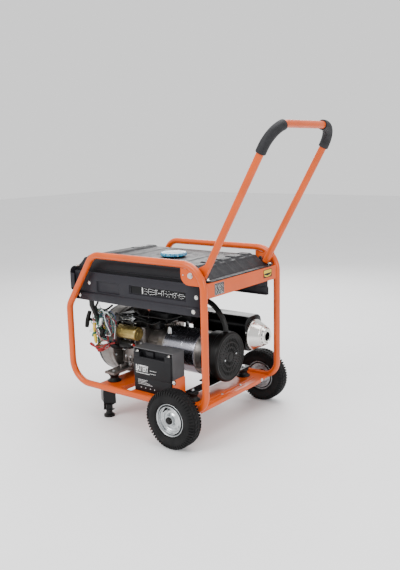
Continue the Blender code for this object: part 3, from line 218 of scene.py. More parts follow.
def make_materials():
    paint("orange_paint", (0.56, 0.074, 0.002), 0.34, 0.03, coat=0.10)
    paint("black_paint", (0.0035, 0.0035, 0.004), 0.34, 0.03, specular=0.22)
    paint("panel_paint", (0.013, 0.0125, 0.017), 0.42, 0.03, speck=0.05, specular=0.25)
    paint("tank_paint", (0.008, 0.0078, 0.010), 0.46, 0.02, specular=0.22)
    metal("zinc_steel", (0.58, 0.60, 0.61), 0.30, stain=0.85)
    metal("bright_steel", (0.74, 0.73, 0.70), 0.20, stain=0.92)
    metal("steel", (0.40, 0.40, 0.45), 0.22, streak=(30, 1, 1), stain=0.9)
    metal("cast_aluminium", (0.26, 0.24, 0.225), 0.42, cast=0.3, stain=0.55)
    metal("gold_zinc", (0.42, 0.31, 0.105), 0.30, streak=(1, 12, 12), stain=0.85)
    plastic("black_plastic", (0.005, 0.0048, 0.0046), 0.42, specular=0.16)
    plastic("gloss_black", (0.0015, 0.0015, 0.002), 0.22, 0.02, specular=0.18)
    plastic("battery_plastic", (0.008, 0.008, 0.0095), 0.46, 0.10, 700, specular=0.2)
    plastic("grey_plastic", (0.085, 0.084, 0.088), 0.45, 0.1)
    plastic("white_plastic", (0.78, 0.79, 0.80), 0.35)
    plastic("red_plastic", (0.24, 0.006, 0.006), 0.35)
    plastic("yellow_plastic", (0.60, 0.42, 0.02), 0.35)
    plastic("green_plastic", (0.012, 0.11, 0.05), 0.38)
    plastic("blue_wire", (0.03, 0.06, 0.15), 0.38)
    plastic("teal_wire", (0.05, 0.17, 0.15), 0.38)
    plastic("pink_wire", (0.42, 0.16, 0.17), 0.38)
    plastic("label_grey", (0.17, 0.17, 0.175), 0.4, 0.02)
    plastic("label_white", (0.74, 0.74, 0.74), 0.45, 0.02)
    rubber = Nodes("rubber", (0.007, 0.007, 0.007), 0.42, Specular_IOR_Level=0.25)
    rubber.colour(rubber.noise(25, 6), [(0.3, (0.004, 0.004, 0.004)), (0.75, (0.010, 0.0095, 0.009))])
    rubber.bump(rubber.noise(700, 4), 0.15, 0.0004)
    tyre = Nodes("tyre_rubber", (0.009, 0.0088, 0.009), 0.50, Specular_IOR_Level=0.16)
    tyre.colour(tyre.noise(18, 8), [(0.25, (0.005, 0.005, 0.0055)), (0.6, (0.009, 0.0088, 0.009)),
                                    (0.8, (0.016, 0.015, 0.0145))])
    tyre.rough(tyre.noise(40, 5), [(0.3, 0.55), (0.7, 0.8)])
    tyre.bump(tyre.noise(600, 5), 0.2, 0.0005)
    foam = Nodes("foam", (0.012, 0.012, 0.014), 0.62, Specular_IOR_Level=0.3)
    foam.colour(foam.noise(60, 6), [(0.3, (0.007, 0.007, 0.0085)), (0.7, (0.017, 0.017, 0.020))])
    foam.bump(foam.voronoi(900), 0.35, 0.0006)
    cap = Nodes("blue_plastic", (0.035, 0.30, 0.48), 0.22, Coat_Weight=0.4, Subsurface_Weight=0.25)
    cap.shader.inputs["Subsurface Radius"].default_value = (0.002, 0.004, 0.006)
    cap.colour(cap.noise(30, 4), [(0.3, (0.012, 0.16, 0.30)), (0.7, (0.03, 0.25, 0.40))])
    plastic("cap_top", (0.42, 0.52, 0.58), 0.32, 0.05, coat=0.2)


make_materials()


# ---- Mesh helpers ----
def finish_mesh(name, bm, mat, body="frame", replaces=(), slot=None, smooth=35):
    mesh = bpy.data.meshes.new(name)
    bm.normal_update()
    bmesh.ops.recalc_face_normals(bm, faces=bm.faces)
    bm.to_mesh(mesh)
    bm.free()
    mesh.shade_smooth()
    mesh.set_sharp_from_angle(angle=math.radians(smooth))
    return finish_object(name, mesh, mat, body, replaces)


def finish_object(name, data, mat, body="frame", replaces=()):
    obj = bpy.data.objects.new(name, data)
    bpy.context.scene.collection.objects.link(obj)
    data.materials.append(MATERIALS[mat])
    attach(obj, body)
    if replaces:
        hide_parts(*replaces)
    return obj


def bevelled(obj, width, segments=3, angle=30):
    modifier = obj.modifiers.new("bevel", "BEVEL")
    modifier.width = width
    modifier.segments = segments
    modifier.limit_method = "ANGLE"
    modifier.angle_limit = math.radians(angle)
    modifier.harden_normals = True
    return obj


def box_bmesh(low, high):
    bm = bmesh.new()
    bmesh.ops.create_cube(bm, size=1)
    low = Vector(low)
    high = Vector(high)
    matrix = Matrix.Translation((low + high) / 2) @ Matrix.Diagonal((*(high - low), 1))
    bmesh.ops.transform(bm, matrix=matrix, verts=bm.verts)
    return bm


def rounded_box(name, low, high, mat, radius=0.002, segments=3, turn=None, **kw):
    """A box with rounded edges, in frame coordinates; turn is (centre, axis, degrees)."""
    bm = box_bmesh(low, high)
    shortest = min(abs(b - a) for a, b in zip(low, high))
    bmesh.ops.bevel(bm, geom=bm.edges[:], offset=min(radius, shortest * 0.45), segments=segments,
                    profile=0.5, affect="EDGES", clamp_overlap=True)
    if turn:
        centre, axis, degrees = turn
        matrix = Matrix.Rotation(math.radians(degrees), 4, axis)
        move = Matrix.Translation(Vector(centre))
        bmesh.ops.transform(bm, matrix=move @ matrix @ move.inverted(), verts=bm.verts)
    bmesh.ops.translate(bm, vec=SHIFT, verts=bm.verts)
    return finish_mesh(name, bm, mat, **kw)


AXES = {
    "X": Matrix(((0, 0, 1), (1, 0, 0), (0, 1, 0))),
    "Y": Matrix(((0, 1, 0), (0, 0, 1), (1, 0, 0))),
    "Z": Matrix.Identity(3),
}


def direction_matrix(direction):
    """A rotation that carries local Z to direction."""
    if isinstance(direction, str):
        return AXES[direction].to_4x4()
    return Vector((0, 0, 1)).rotation_difference(Vector(direction)).to_matrix().to_4x4()


def lathe_bmesh(profile, steps, bm=None, matrix=None):
    """Turned surface about Z from (along, radius) points; points at radius 0 become poles."""
    bm = bm or bmesh.new()
    rings = []
    for along, radius in profile:
        if radius <= 1e-7:
            rings.append([bm.verts.new((0, 0, along))])
            continue
        ring = []
        for step in range(steps):
            angle = 2 * math.pi * step / steps
            ring.append(bm.verts.new((radius * math.cos(angle), radius * math.sin(angle), along)))
        rings.append(ring)
    for first, second in zip(rings, rings[1:]):
        join_rings(bm, first, second)
    if len(rings[0]) > 1 and len(rings[-1]) > 1:
        join_rings(bm, rings[-1], rings[0])
    if matrix is not None:
        bmesh.ops.transform(bm, matrix=matrix, verts=[v for ring in rings for v in ring])
    return bm


def join_rings(bm, first, second):
    count = max(len(first), len(second))
    if len(first) == 1 and len(second) == 1:
        return
    for index in range(count):
        after = (index + 1) % count
        corners = [first[index % len(first)], first[after % len(first)],
                   second[after % len(second)], second[index % len(second)]]
        unique = list(dict.fromkeys(corners))
        bm.faces.new(unique)


def lathe(name, profile, centre, direction, mat, steps=64, **kw):
    matrix = Matrix.Translation(at(*centre)) @ direction_matrix(direction)
    return finish_mesh(name, lathe_bmesh(profile, steps, matrix=matrix), mat, **kw)


def soft_profile(points, radius, steps=3):
    """Rounds the corners of a (along, radius) profile, leaving the ends and points on the axis."""
    out = [points[0]]
    for before, corner, after in zip(points, points[1:], points[2:]):
        here = Vector(corner)
        to_before = Vector(before) - here
        to_after = Vector(after) - here
        if here.y <= 1e-6 or min(to_before.length, to_after.length) < 1e-6:
            out.append(corner)
            continue
        reach = min(radius, to_before.length * 0.45, to_after.length * 0.45)
        start = here + to_before.normalized() * reach
        end = here + to_after.normalized() * reach
        for step in range(steps + 1):
            t = step / steps
            out.append(tuple(start * (1 - t) ** 2 + here * 2 * t * (1 - t) + end * t**2))
    out.append(points[-1])
    return out


def arc_corners(corners, closed=True, steps=12):
    """A polyline through (point, radius) corners, with an arc at each."""
    points = []
    count = len(corners)
    for index, (corner, radius) in enumerate(corners):
        corner = Vector(corner)
        if radius <= 0 or (not closed and index in (0, count - 1)):
            points.append(corner)
            continue
        before = (Vector(corners[index - 1][0]) - corner).normalized()
        after = (Vector(corners[(index + 1) % count][0]) - corner).normalized()
        half = before.angle(after) / 2
        centre = corner + (before + after).normalized() * (radius / math.sin(half))
        start = corner + before * (radius / math.tan(half)) - centre
        turn = math.pi - 2 * half
        for step in range(steps + 1):
            angle = turn * step / steps
            points.append(centre + start * math.cos(angle) - before * (radius * math.sin(angle)))
    return points


def sweep(name, points, radius, mat, closed=False, sides=20, caps=True, **kw):
    """A round tube along world points with rotation-minimising rings; radius may be a function of 0..1."""
    points = [Vector(point) for point in points]
    count = len(points)
    size = radius if callable(radius) else lambda t: radius
    tangents = []
    for index in range(count):
        after = points[(index + 1) % count] if closed else points[min(index + 1, count - 1)]
        before = points[index - 1] if closed else points[max(index - 1, 0)]
        tangents.append((after - before).normalized())
    normal = tangents[0].orthogonal().normalized()
    bm = bmesh.new()
    rings = []
    for index in range(count):
        normal = (normal - tangents[index] * normal.dot(tangents[index])).normalized()
        side = tangents[index].cross(normal)
        r = size(index / max(1, count - 1))
        ring = []
        for step in range(sides):
            angle = 2 * math.pi * step / sides
            offset = (normal * math.cos(angle) + side * math.sin(angle)) * r
            ring.append(bm.verts.new(points[index] + offset))
        rings.append(ring)
    for first, second in zip(rings, rings[1:]):
        join_rings(bm, first, second)
    if closed:
        last = rings[-1]
        best = min(range(sides), key=lambda k: (last[0].co - rings[0][k].co).length)
        join_rings(bm, last, rings[0][best:] + rings[0][:best])
    elif caps:
        bm.faces.new(rings[0][::-1])
        bm.faces.new(rings[-1])
    return finish_mesh(name, bm, mat, smooth=50, **kw)


def curve_points(knots, spacing=0.006):
    """Points along a Catmull-Rom curve through the knots."""
    knots = [Vector(knot) for knot in knots]
    padded = [knots[0] * 2 - knots[1]] + knots + [knots[-1] * 2 - knots[-2]]
    points = [knots[0]]
    for a, b, c, d in zip(padded, padded[1:], padded[2:], padded[3:]):
        steps = max(2, round((c - b).length / spacing))
        for step in range(1, steps + 1):
            t = step / steps
            blend = b * 2 + (c - a) * t + (a * 2 - b * 5 + c * 4 - d) * t**2
            points.append((blend + (b * 3 - a - c * 3 + d) * t**3) / 2)
    return points


def prism(name, outline, axis, low, high, mat, bevel=0.0008, segments=2, **kw):
    """A flat outline of 2D frame points, extruded from low to high along axis, with rounded edges."""
    bm = bmesh.new()
    lift = {
        "X": lambda a, b, c: (c, a, b),
        "Y": lambda a, b, c: (a, c, b),
        "Z": lambda a, b, c: (a, b, c),
    }[axis]
    bottom = [bm.verts.new(Vector(lift(p[0], p[1], low)) + SHIFT) for p in outline]
    top = [bm.verts.new(Vector(lift(p[0], p[1], high)) + SHIFT) for p in outline]
    bm.faces.new(bottom)
    bm.faces.new(top[::-1])
    join_rings(bm, bottom, top)
    bm.normal_update()
    bmesh.ops.recalc_face_normals(bm, faces=bm.faces)
    if bevel:
        sharp = [e for e in bm.edges if e.calc_face_angle(0) > math.radians(60)]
        bmesh.ops.bevel(bm, geom=sharp, offset=bevel, segments=segments, profile=0.5, affect="EDGES",
                        clamp_overlap=True)
    return finish_mesh(name, bm, mat, **kw)


def rounded_rect(a0, a1, b0, b1, radius, steps=6):
    return arc_corners(
        [((a0, b0), radius), ((a1, b0), radius), ((a1, b1), radius), ((a0, b1), radius)], steps=steps
    )


def bolt(name, place, direction, size, mat="zinc_steel", washer=True, hexagon=True, body="frame"):
    """A flanged screw head: washer, then a hexagon or a domed head with a round recess."""
    bm = bmesh.new()
    if washer:
        lathe_bmesh(soft_profile([(0, 0), (0, size * 1.25), (size * 0.16, size * 1.25), (size * 0.16, 0)],
                                 size * 0.05), 24, bm)
    if hexagon:
        lathe_bmesh(soft_profile([(size * 0.16, 0), (size * 0.16, size * 0.92), (size * 0.72, size * 0.92),
                                  (size * 0.82, size * 0.80), (size * 0.82, 0)], size * 0.06), 6, bm)
    else:
        lathe_bmesh([(size * 0.16, 0), (size * 0.16, size * 0.9), (size * 0.34, size * 0.86),
                     (size * 0.52, size * 0.68), (size * 0.62, size * 0.40), (size * 0.60, size * 0.18),
                     (size * 0.46, size * 0.14), (size * 0.44, 0)], 20, bm)
    matrix = Matrix.Translation(at(*place)) @ direction_matrix(direction)
    bmesh.ops.transform(bm, matrix=matrix, verts=bm.verts)
    return finish_mesh(name, bm, mat, body=body, slot=None)


def merge(name, objects, mat, body="frame", **kw):
    """Joins the meshes of several pieces that share one material into one piece."""
    bm = bmesh.new()
    for obj in objects:
        bm.from_mesh(obj.data)
        data = obj.data
        bpy.data.objects.remove(obj)
        bpy.data.meshes.remove(data)
    return finish_mesh(name, bm, mat, body=body, **kw)


# ---- Frame tubes ----
BEND_LOW_HANDLE_END = 0.062
BEND_HIGH_HANDLE_END = 0.0876
BEND_LOW_RECOIL_END = 0.0876
BEND_SLANT = 0.060
SLANT_RUN = 0.139
SLANT_DROP = 0.208


def make_loops():
    corners = [
        ((LOOP_X, BASE_Z), BEND_LOW_HANDLE_END),
        ((LOOP_X, TOP_Z), BEND_HIGH_HANDLE_END),
        ((-LOOP_X + SLANT_RUN, TOP_Z), BEND_SLANT),
        ((-LOOP_X, TOP_Z - SLANT_DROP), BEND_SLANT),
        ((-LOOP_X, BASE_Z), BEND_LOW_RECOIL_END),
    ]
    route = arc_corners(corners)
    for side, sign in SIDES:
        points = [at(point[0], sign * LOOP_Y, point[1]) for point in route]
        sweep(f"loop_tube_{side}", points, TUBE_R, "orange_paint", closed=True, sides=32,
              replaces=[f"side_loop_{side}"], slot="orange_paint")


make_loops()


# ---- Handle ----
HANDLE_TILT = math.radians(29.2)
HANDLE_BEND = 0.0824
NEAR_GRIP_LEG = 0.018
NEAR_GRIP_SHARE = 0.8
FAR_GRIP_LEG = 0.001
FAR_GRIP_BAR = 0.004


def make_handle():
    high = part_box("handle")[1]
    pivot = Vector(joint("handle_fold")["pos_m"])
    leg_dir = Vector((math.sin(HANDLE_TILT), 0, math.cos(HANDLE_TILT)))
    leg_side = Vector((math.cos(HANDLE_TILT), 0, -math.sin(HANDLE_TILT)))
    half = high[1] - TUBE_R
    bar = Vector((high[0] - TUBE_R, 0, high[2] - TUBE_R))
    offset = (bar - pivot).dot(leg_side)
    reach = (bar - pivot).dot(leg_dir)
    foot = pivot + leg_side * offset + leg_dir * 0.003
    across = Vector((0, half, 0))
    bar = pivot + leg_side * offset + leg_dir * reach
    corners = [
        (foot - across, 0), (bar - across, HANDLE_BEND), (bar + across, HANDLE_BEND), (foot + across, 0)
    ]
    route = arc_corners(corners, closed=False, steps=16)
    sweep("handle_tube", route, TUBE_R, "orange_paint", sides=32, body="handle_body", replaces=["handle"],
          slot="orange_paint")
    bend = len(route) // 2 - 1
    covered = 1 + round((bend - 1) * NEAR_GRIP_SHARE)
    near = [route[1] - leg_dir * NEAR_GRIP_LEG, *route[1:covered + 1]]
    far_start = route[bend + 1] - Vector((0, FAR_GRIP_BAR, 0))
    far = [far_start, *route[bend + 1:-1], route[-2] - leg_dir * FAR_GRIP_LEG]
    radius = -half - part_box("grip_near")[0][1]
    for side, sign, points in (("near", -1, near), ("far", 1, far)):
        ends = [points[0].lerp(points[1], 0.12), points[-1].lerp(points[-2], 0.12)]
        points = [points[0], ends[0], *points[1:-1], ends[1], points[-1]]
        last = len(points) - 1
        sweep(f"foam_grip_{side}", points, lambda t: radius * (0.93 if min(t, 1 - t) * last < 0.5 else 1.0),
              "foam", sides=32, body="handle_body", replaces=[f"grip_{side}"], slot="foam")
        make_pivot_plate(side, sign, pivot, half)


def make_pivot_plate(side, sign, pivot, half):
    """The plate welded to the handle leg, round its pivot."""
    outline = arc_corners(
        [
            ((-0.015, -0.014), 0.012), ((0.034, -0.018), 0.006), ((0.058, 0.020), 0.006),
            ((0.050, 0.040), 0.004), ((0.010, 0.020), 0.010), ((-0.015, 0.016), 0.012)
        ], steps=6
    )
    centre = pivot - SHIFT
    points = [(p[0] + centre.x, p[1] + centre.z) for p in outline]
    outer = half + TUBE_R
    low, high = sorted((sign * outer, sign * (outer - 0.005)))
    prism(f"pivot_plate_{side}", points, "Y", low, high, "orange_paint", 0.0008, body="handle_body",
          slot="orange_paint")


make_handle()


# ---- Wheels ----
def make_tyre(side):
    low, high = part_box(f"tyre_{side}")
    centre = (Vector(low) + Vector(high)) / 2 - SHIFT
    r = (high[2] - low[2]) / 2
    h = (high[1] - low[1]) / 2
    base = r - 0.0022
    half = [
        (0, base), (0.008, base - 0.0002), (0.015, base - 0.0010), (0.0205, base - 0.0035),
        (0.0255, base - 0.009), (h - 0.0022, base - 0.017), (h - 0.0008, base - 0.024),
        (h - 0.0004, base - 0.027), (h - 0.0012, base - 0.0285), (h - 0.0008, base - 0.030),
        (h - 0.0016, base - 0.034), (h - 0.0028, base - 0.0375), (h - 0.0020, base - 0.0385),
        (h - 0.0048, base - 0.041), (0.0205, 0.0595), (0.0188, 0.0560), (0.0180, 0.0505), (0.012, 0.0505)
    ]
    profile = [(-along, radius) for along, radius in reversed(half[1:])] + half
    bm = lathe_bmesh(soft_profile(profile, 0.0012, 2), 96)
    blocks = 58
    for index in range(blocks):
        for row, flip in ((0.0245, 1), (-0.0245, -1)):
            add_shoulder_block(
                bm, index * 2 * math.pi / blocks + (0 if flip > 0 else math.pi / blocks), row, flip, r
            )
    ribs = 44
    for index in range(ribs):
        for row in (-0.0075, 0.0075):
            turn = 2 * math.pi * (index + (0.5 if row > 0 else 0)) / ribs
            add_block(
                bm, turn, row, 0.0110, 0.0105, base - 0.001, r - 0.0002, skew=0.35 if row > 0 else -0.35
            )
    matrix = Matrix.Translation(at(*centre)) @ direction_matrix("Y")
    bmesh.ops.transform(bm, matrix=matrix, verts=bm.verts)
    finish_mesh(f"tyre_tread_{side}", bm, "tyre_rubber", body=f"{side}_wheel", replaces=[f"tyre_{side}"],
                slot="tyre_rubber")


def add_block(bm, turn, middle, across, along, inner, outer, skew=0.0):
    """A tread block between two radii; across is its width on the axis and along its length on the tread."""
    rings = []
    for radius, grow in ((inner, 1.0), (outer - 0.0008, 1.0), (outer, 0.86)):
        ring = []
        for a, b in ((-1, -1), (1, -1), (1, 1), (-1, 1)):
            place = middle + a * across / 2 * grow
            angle = turn + (b * along / 2 * grow + skew * a * across / 2) / outer
            ring.append(bm.verts.new((radius * math.cos(angle), radius * math.sin(angle), place)))
        rings.append(ring)
    for first, second in zip(rings, rings[1:]):
        join_rings(bm, first, second)
    bm.faces.new(rings[-1])
    bm.faces.new(rings[0][::-1])


def add_shoulder_block(bm, turn, middle, flip, r):
    """A knob that wraps from the tread over the shoulder onto the sidewall."""
    section = [(-0.0060, r - 0.0008), (0.0000, r - 0.0024), (0.0030, r - 0.0070), (0.0052, r - 0.0150),
               (0.0036, r - 0.0165), (-0.0070, r - 0.0070)]
    faces = []
    for step in (-1, 1):
        ring = []
        for along, radius in section:
            angle = turn + step * 0.0031 / r
            ring.append(
                bm.verts.new((radius * math.cos(angle), radius * math.sin(angle), middle + flip * along))
            )
        faces.append(ring)
    join_rings(bm, *faces)
    bm.faces.new(faces[0])
    bm.faces.new(faces[1][::-1])


def make_rim(side, sign):
    low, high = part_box(f"rim_{side}")
    centre = (Vector(low) + Vector(high)) / 2 - SHIFT
    r = (high[2] - low[2]) / 2
    w = 0.023
    for face in (1, -1):
        out = face * sign
        dish = [
            (w - 0.0006, r - 0.0012), (w, r - 0.0022), (w - 0.0006, r - 0.0034), (w - 0.0030, r - 0.0050),
            (w - 0.0072, r - 0.0078), (w - 0.0105, r - 0.0100), (0.0110, 0.0452), (0.0068, 0.0425),
            (0.0052, 0.0400), (0.0056, 0.0370), (0.0078, 0.0330), (0.0090, 0.0290), (0.0084, 0.0262),
            (0.0100, 0.0232), (0.0128, 0.0196), (0.0148, 0.0178), (0.0205, 0.0170), (0.0238, 0.0164),
            (0.0240, 0.0150), (0.0240, 0.0092), (0.0225, 0.0084)
        ]
        back = [(along - 0.0016, radius) for along, radius in reversed(dish[1:-1])]
        lathe(f"rim_dish_{side}_{'outer' if face > 0 else 'inner'}", soft_profile(dish + back, 0.0008, 2),
              centre, (0, out, 0), "zinc_steel", 80, body=f"{side}_wheel",
              replaces=[f"rim_{side}"] if face > 0 else (), slot="zinc_steel")
    barrel = [(-w + 0.001, 0.0495), (w - 0.001, 0.0495), (w - 0.001, 0.0478), (-w + 0.001, 0.0478)]
    lathe(f"rim_barrel_{side}", barrel, centre, "Y", "zinc_steel", 80, body=f"{side}_wheel")
    studs = []
    for index in range(4):
        angle = math.radians(45 + 90 * index)
        place = (
            centre.x + 0.0335 * math.cos(angle), centre.y + sign * 0.0072,
            centre.z + 0.0335 * math.sin(angle)
        )
        studs.append(bolt("stud", place, (0, sign, 0), 0.0042, body=f"{side}_wheel"))
    merge(f"rim_studs_{side}", studs, "zinc_steel", body=f"{side}_wheel")
    valve = (centre.x + 0.0425 * math.cos(2.2), centre.y + sign * 0.010, centre.z + 0.0425 * math.sin(2.2))
    lathe(
        f"tyre_valve_{side}",
        soft_profile(
            [
                (-0.004, 0), (-0.004, 0.0045), (0.004, 0.0040), (0.010, 0.0030), (0.011, 0.0026),
                (0.018, 0.0026), (0.019, 0.0020), (0.019, 0)
            ], 0.0005
        ), valve, (-0.3 * math.cos(2.2), sign, -0.3 * math.sin(2.2)), "rubber", 20, body=f"{side}_wheel"
    )
    cap = [(0.0, 0), (0.0, 0.0140), (0.0020, 0.0138), (0.0042, 0.0120), (0.0050, 0.0092), (0.0046, 0.0050),
           (0.0046, 0)]
    lathe(f"hub_cap_{side}", soft_profile(cap, 0.0006), (centre.x, centre.y + sign * 0.0241, centre.z),
          (0, sign, 0), "black_plastic", 40, body=f"{side}_wheel")


for wheel_side, wheel_sign in SIDES:
    make_tyre(wheel_side)
    make_rim(wheel_side, wheel_sign)


# ---- Engine and alternator, turned about the crankshaft axis ----
AXIS_Z = joint("crank_spin")["pos_m"][2]
SHAFT = (0, 0, AXIS_Z)


def turned(name, profile, mat, centre=SHAFT, steps=96, radius=0.0012, **kw):
    """A turned piece about the crankshaft; profile points are (x, radius)."""
    return lathe(name, soft_profile(profile, radius), centre, "X", mat, steps, **kw)


def ring_places(count, radius, start=0.0, centre=SHAFT):
    for index in range(count):
        angle = math.radians(start + 360 * index / count)
        yield angle, centre[1] + radius * math.cos(angle), centre[2] + radius * math.sin(angle)


MESH_GAP = 0.0003
END_BRACKET_LENGTH = 0.036
STARTER_R = 0.028
CRANKCASE_NEAR = -0.085
COVER_VENTS = ((0.020, 0.034, 18, 0.0022), (0.039, 0.053, 28, 0.0024), (0.058, 0.070, 40, 0.0026))


def make_alternator():
    low, high = local_box("stator")
    r = (high.z - low.z) / 2
    x0, x1 = low.x, high.x
    turned(
        "stator_shell",
        [
            (x0, r - 0.006), (x0, r - 0.0012), (x0 + 0.001, r), (x1 - 0.001, r), (x1, r - 0.0012),
            (x1, r - 0.006), (x0 + 0.003, r - 0.006)
        ], "steel", replaces=["stator"], slot="steel"
    )
    turned("stator_band", [(x0 + 0.0855, r + 0.0002), (x0 + 0.0865, r + 0.0006), (x0 + 0.0885, r + 0.0006),
                           (x0 + 0.0895, r + 0.0002)], "steel")
    low, high = local_box("alternator_adapter")
    a0, a1 = low.x, high.x
    turned("adapter_casting", [(a0, 0.055), (a0, 0.0655), (a0 + 0.010, 0.0660), (a0 + 0.016, 0.0690),
                               (a1 - 0.030, r - 0.0045), (a1 - 0.008, r - 0.0035), (a1 - 0.007, r - 0.0005),
                               (a1, r - 0.0005), (a1, r - 0.008)], "cast_aluminium",
           replaces=["alternator_adapter"], slot="cast_aluminium")
    ribs = []
    for angle, y, z in ring_places(10, 0.073, 12):
        ribs.append(
            rounded_box(
                "rib", (a0 + 0.012, y - 0.002, z - 0.007), (a1 - 0.008, y + 0.002, z + 0.007),
                "cast_aluminium", 0.0015, 2, ((a0, y, z), "X", math.degrees(angle) + 90)
            )
        )
    merge("adapter_ribs", ribs, "cast_aluminium")
    b0 = x1 + MESH_GAP
    b1 = b0 + END_BRACKET_LENGTH
    turned(
        "end_bracket_ring",
        [
            (b0, r - 0.010), (b0, r - 0.0012), (b0 + 0.004, r - 0.0008), (b0 + 0.0045, r - 0.003),
            (b1 - 0.006, r - 0.003), (b1 - 0.0055, r - 0.0010), (b1, r - 0.0010), (b1, 0.020)
        ], "cast_aluminium", replaces=["alternator_end_bracket"], slot="cast_aluminium"
    )
    lugs = []
    for angle, y, z in ring_places(4, r - 0.004, 32):
        lugs.append(
            rounded_box(
                "lug", (b0 + 0.002, y - 0.006, z - 0.0055), (b1 - 0.001, y + 0.006, z + 0.0055),
                "cast_aluminium", 0.0018, 3, ((b0, y, z), "X", math.degrees(angle) + 90)
            )
        )
    merge("end_bracket_lugs", lugs, "cast_aluminium")
    make_alternator_foot(b0, r)
    low, high = local_box("alternator_end_cover")
    c0, c1 = low.x, high.x
    rc = (high.z - low.z) / 2
    turned(
        "end_cover_shell",
        [
            (c0, rc - 0.0085), (c0, rc - 0.0052), (c1 - 0.040, rc - 0.0032), (c1 - 0.0375, rc - 0.0030),
            (c1 - 0.034, rc - 0.0002), (c1 - 0.010, rc), (c1 - 0.0055, rc - 0.0012),
            (c1 - 0.0020, rc - 0.0050), (c1 - 0.0008, rc - 0.0085), (c1 - 0.0032, rc - 0.0120),
            (c1 - 0.0036, 0.0)
        ], "black_plastic", replaces=["alternator_end_cover"], slot="black_plastic"
    )
    make_cover_face(c1 - 0.0036)


def make_alternator_foot(b0, r):
    low, high = local_box("engine_mount_handle_end_near")
    mount_top = high.z
    x = (low.x + high.x) / 2
    reach = -low.y
    pieces = [
        rounded_box("foot", (x - 0.019, -reach, mount_top + 0.0003), (x + 0.019, reach, mount_top + 0.0070),
                    "black_paint", 0.0025),
        rounded_box("arm", (b0 + 0.006, -0.060, mount_top + 0.001), (x - 0.010, 0.060, mount_top + 0.0065),
                    "black_paint", 0.002),
        rounded_box("web", (b0 + 0.008, -0.045, mount_top + 0.004), (b0 + 0.024, 0.045, AXIS_Z - r + 0.006),
                    "black_paint", 0.003),
    ]
    merge("alternator_foot", pieces, "black_paint")


def make_cover_face(x):
    """Radial vents as gloss-black slots of painted shade between raised ribs, a raised ring and centre boss,
    and two screws on the alternator end cover.
    """
    slots = []
    rims = []
    for ring, (inner, outer, count, width) in enumerate(COVER_VENTS):
        middle = (inner + outer) / 2
        for angle, y, z in ring_places(count, middle, ring * 4):
            if abs(math.sin(angle)) < 0.20 and ring == 1:
                continue
            turn = ((x, y, z), "X", math.degrees(angle) - 90)
            half = (outer - inner) / 2
            # The gloss-black slots are painted shade: flat dark sheets that stand for the shadowed vent
            # openings.
            slots.append(
                rounded_box(
                    "slot", (x - 0.0002, y - width / 2, z - half), (x + 0.0003, y + width / 2, z + half),
                    "gloss_black", 0.0001, 1, turn
                )
            )
            rims.append(
                rounded_box(
                    "rib", (x - 0.0005, y + width / 2 + 0.0002, z - half),
                    (x + 0.0022, y + width / 2 + 0.0030, z + half), "black_plastic", 0.0008, 2, turn
                )
            )
    merge("end_cover_vents_painted_shade", slots, "gloss_black")
    merge("end_cover_ribs", rims, "black_plastic")
    turned(
        "end_cover_rings",
        [(x - 0.001, 0.0770), (x + 0.0012, 0.0765), (x + 0.0012, 0.0745), (x - 0.001, 0.0740)],
        "black_plastic", radius=0.0003
    )
    turned(
        "end_cover_boss",
        [(x - 0.001, 0), (x - 0.001, 0.0150), (x + 0.0012, 0.0145), (x + 0.0016, 0.0120), (x + 0.0016, 0)],
        "black_plastic", radius=0.0004
    )
    screws = [bolt("screw", (x + 0.0002, y, z), "X", 0.0040, washer=False, hexagon=False)
              for _, y, z in ring_places(2, 0.0365, 8)]
    merge("end_cover_screws", screws, "zinc_steel")


def make_starter():
    low, high = local_box("starter_motor")
    r = STARTER_R
    y = low.y + r
    z = high.z - r
    x0, x1 = low.x, high.x
    centre = (0, y, z)
    turned(
        "starter_body",
        [
            (x0, 0), (x0, r - 0.005), (x0 + 0.003, r - 0.0006), (x1 - 0.020, r - 0.0006), (x1 - 0.0192, r),
            (x1 - 0.004, r), (x1 - 0.0015, r - 0.0016), (x1 - 0.0006, r - 0.0050), (x1 - 0.0006, 0.0105),
            (x1 - 0.0012, 0.0100), (x1, 0.0092), (x1, 0)
        ], "gold_zinc", centre, replaces=["starter_motor"], slot="gold_zinc"
    )
    turned(
        "starter_band",
        [(x0 + 0.034, r - 0.0008), (x0 + 0.0345, r), (x0 + 0.036, r), (x0 + 0.0365, r - 0.0008)],
        "gold_zinc", centre
    )
    screws = [bolt("screw", (x1 - 0.0008, sy, sz), "X", 0.0026, washer=False, hexagon=False)
              for _, sy, sz in ring_places(2, 0.0185, 40, centre)]
    merge("starter_screws", screws, "gold_zinc")
    rounded_box("starter_flange", (x0 - 0.001, y - 0.030, z - 0.030), (x0 + 0.010, high.y, z + 0.026),
                "cast_aluminium", 0.004)
    rounded_box("starter_bracket", (x0 + 0.030, y + 0.018, z - 0.016), (x0 + 0.066, high.y, z + 0.014),
                "cast_aluminium", 0.003)
    make_solenoid(x0, y, z - 0.049)


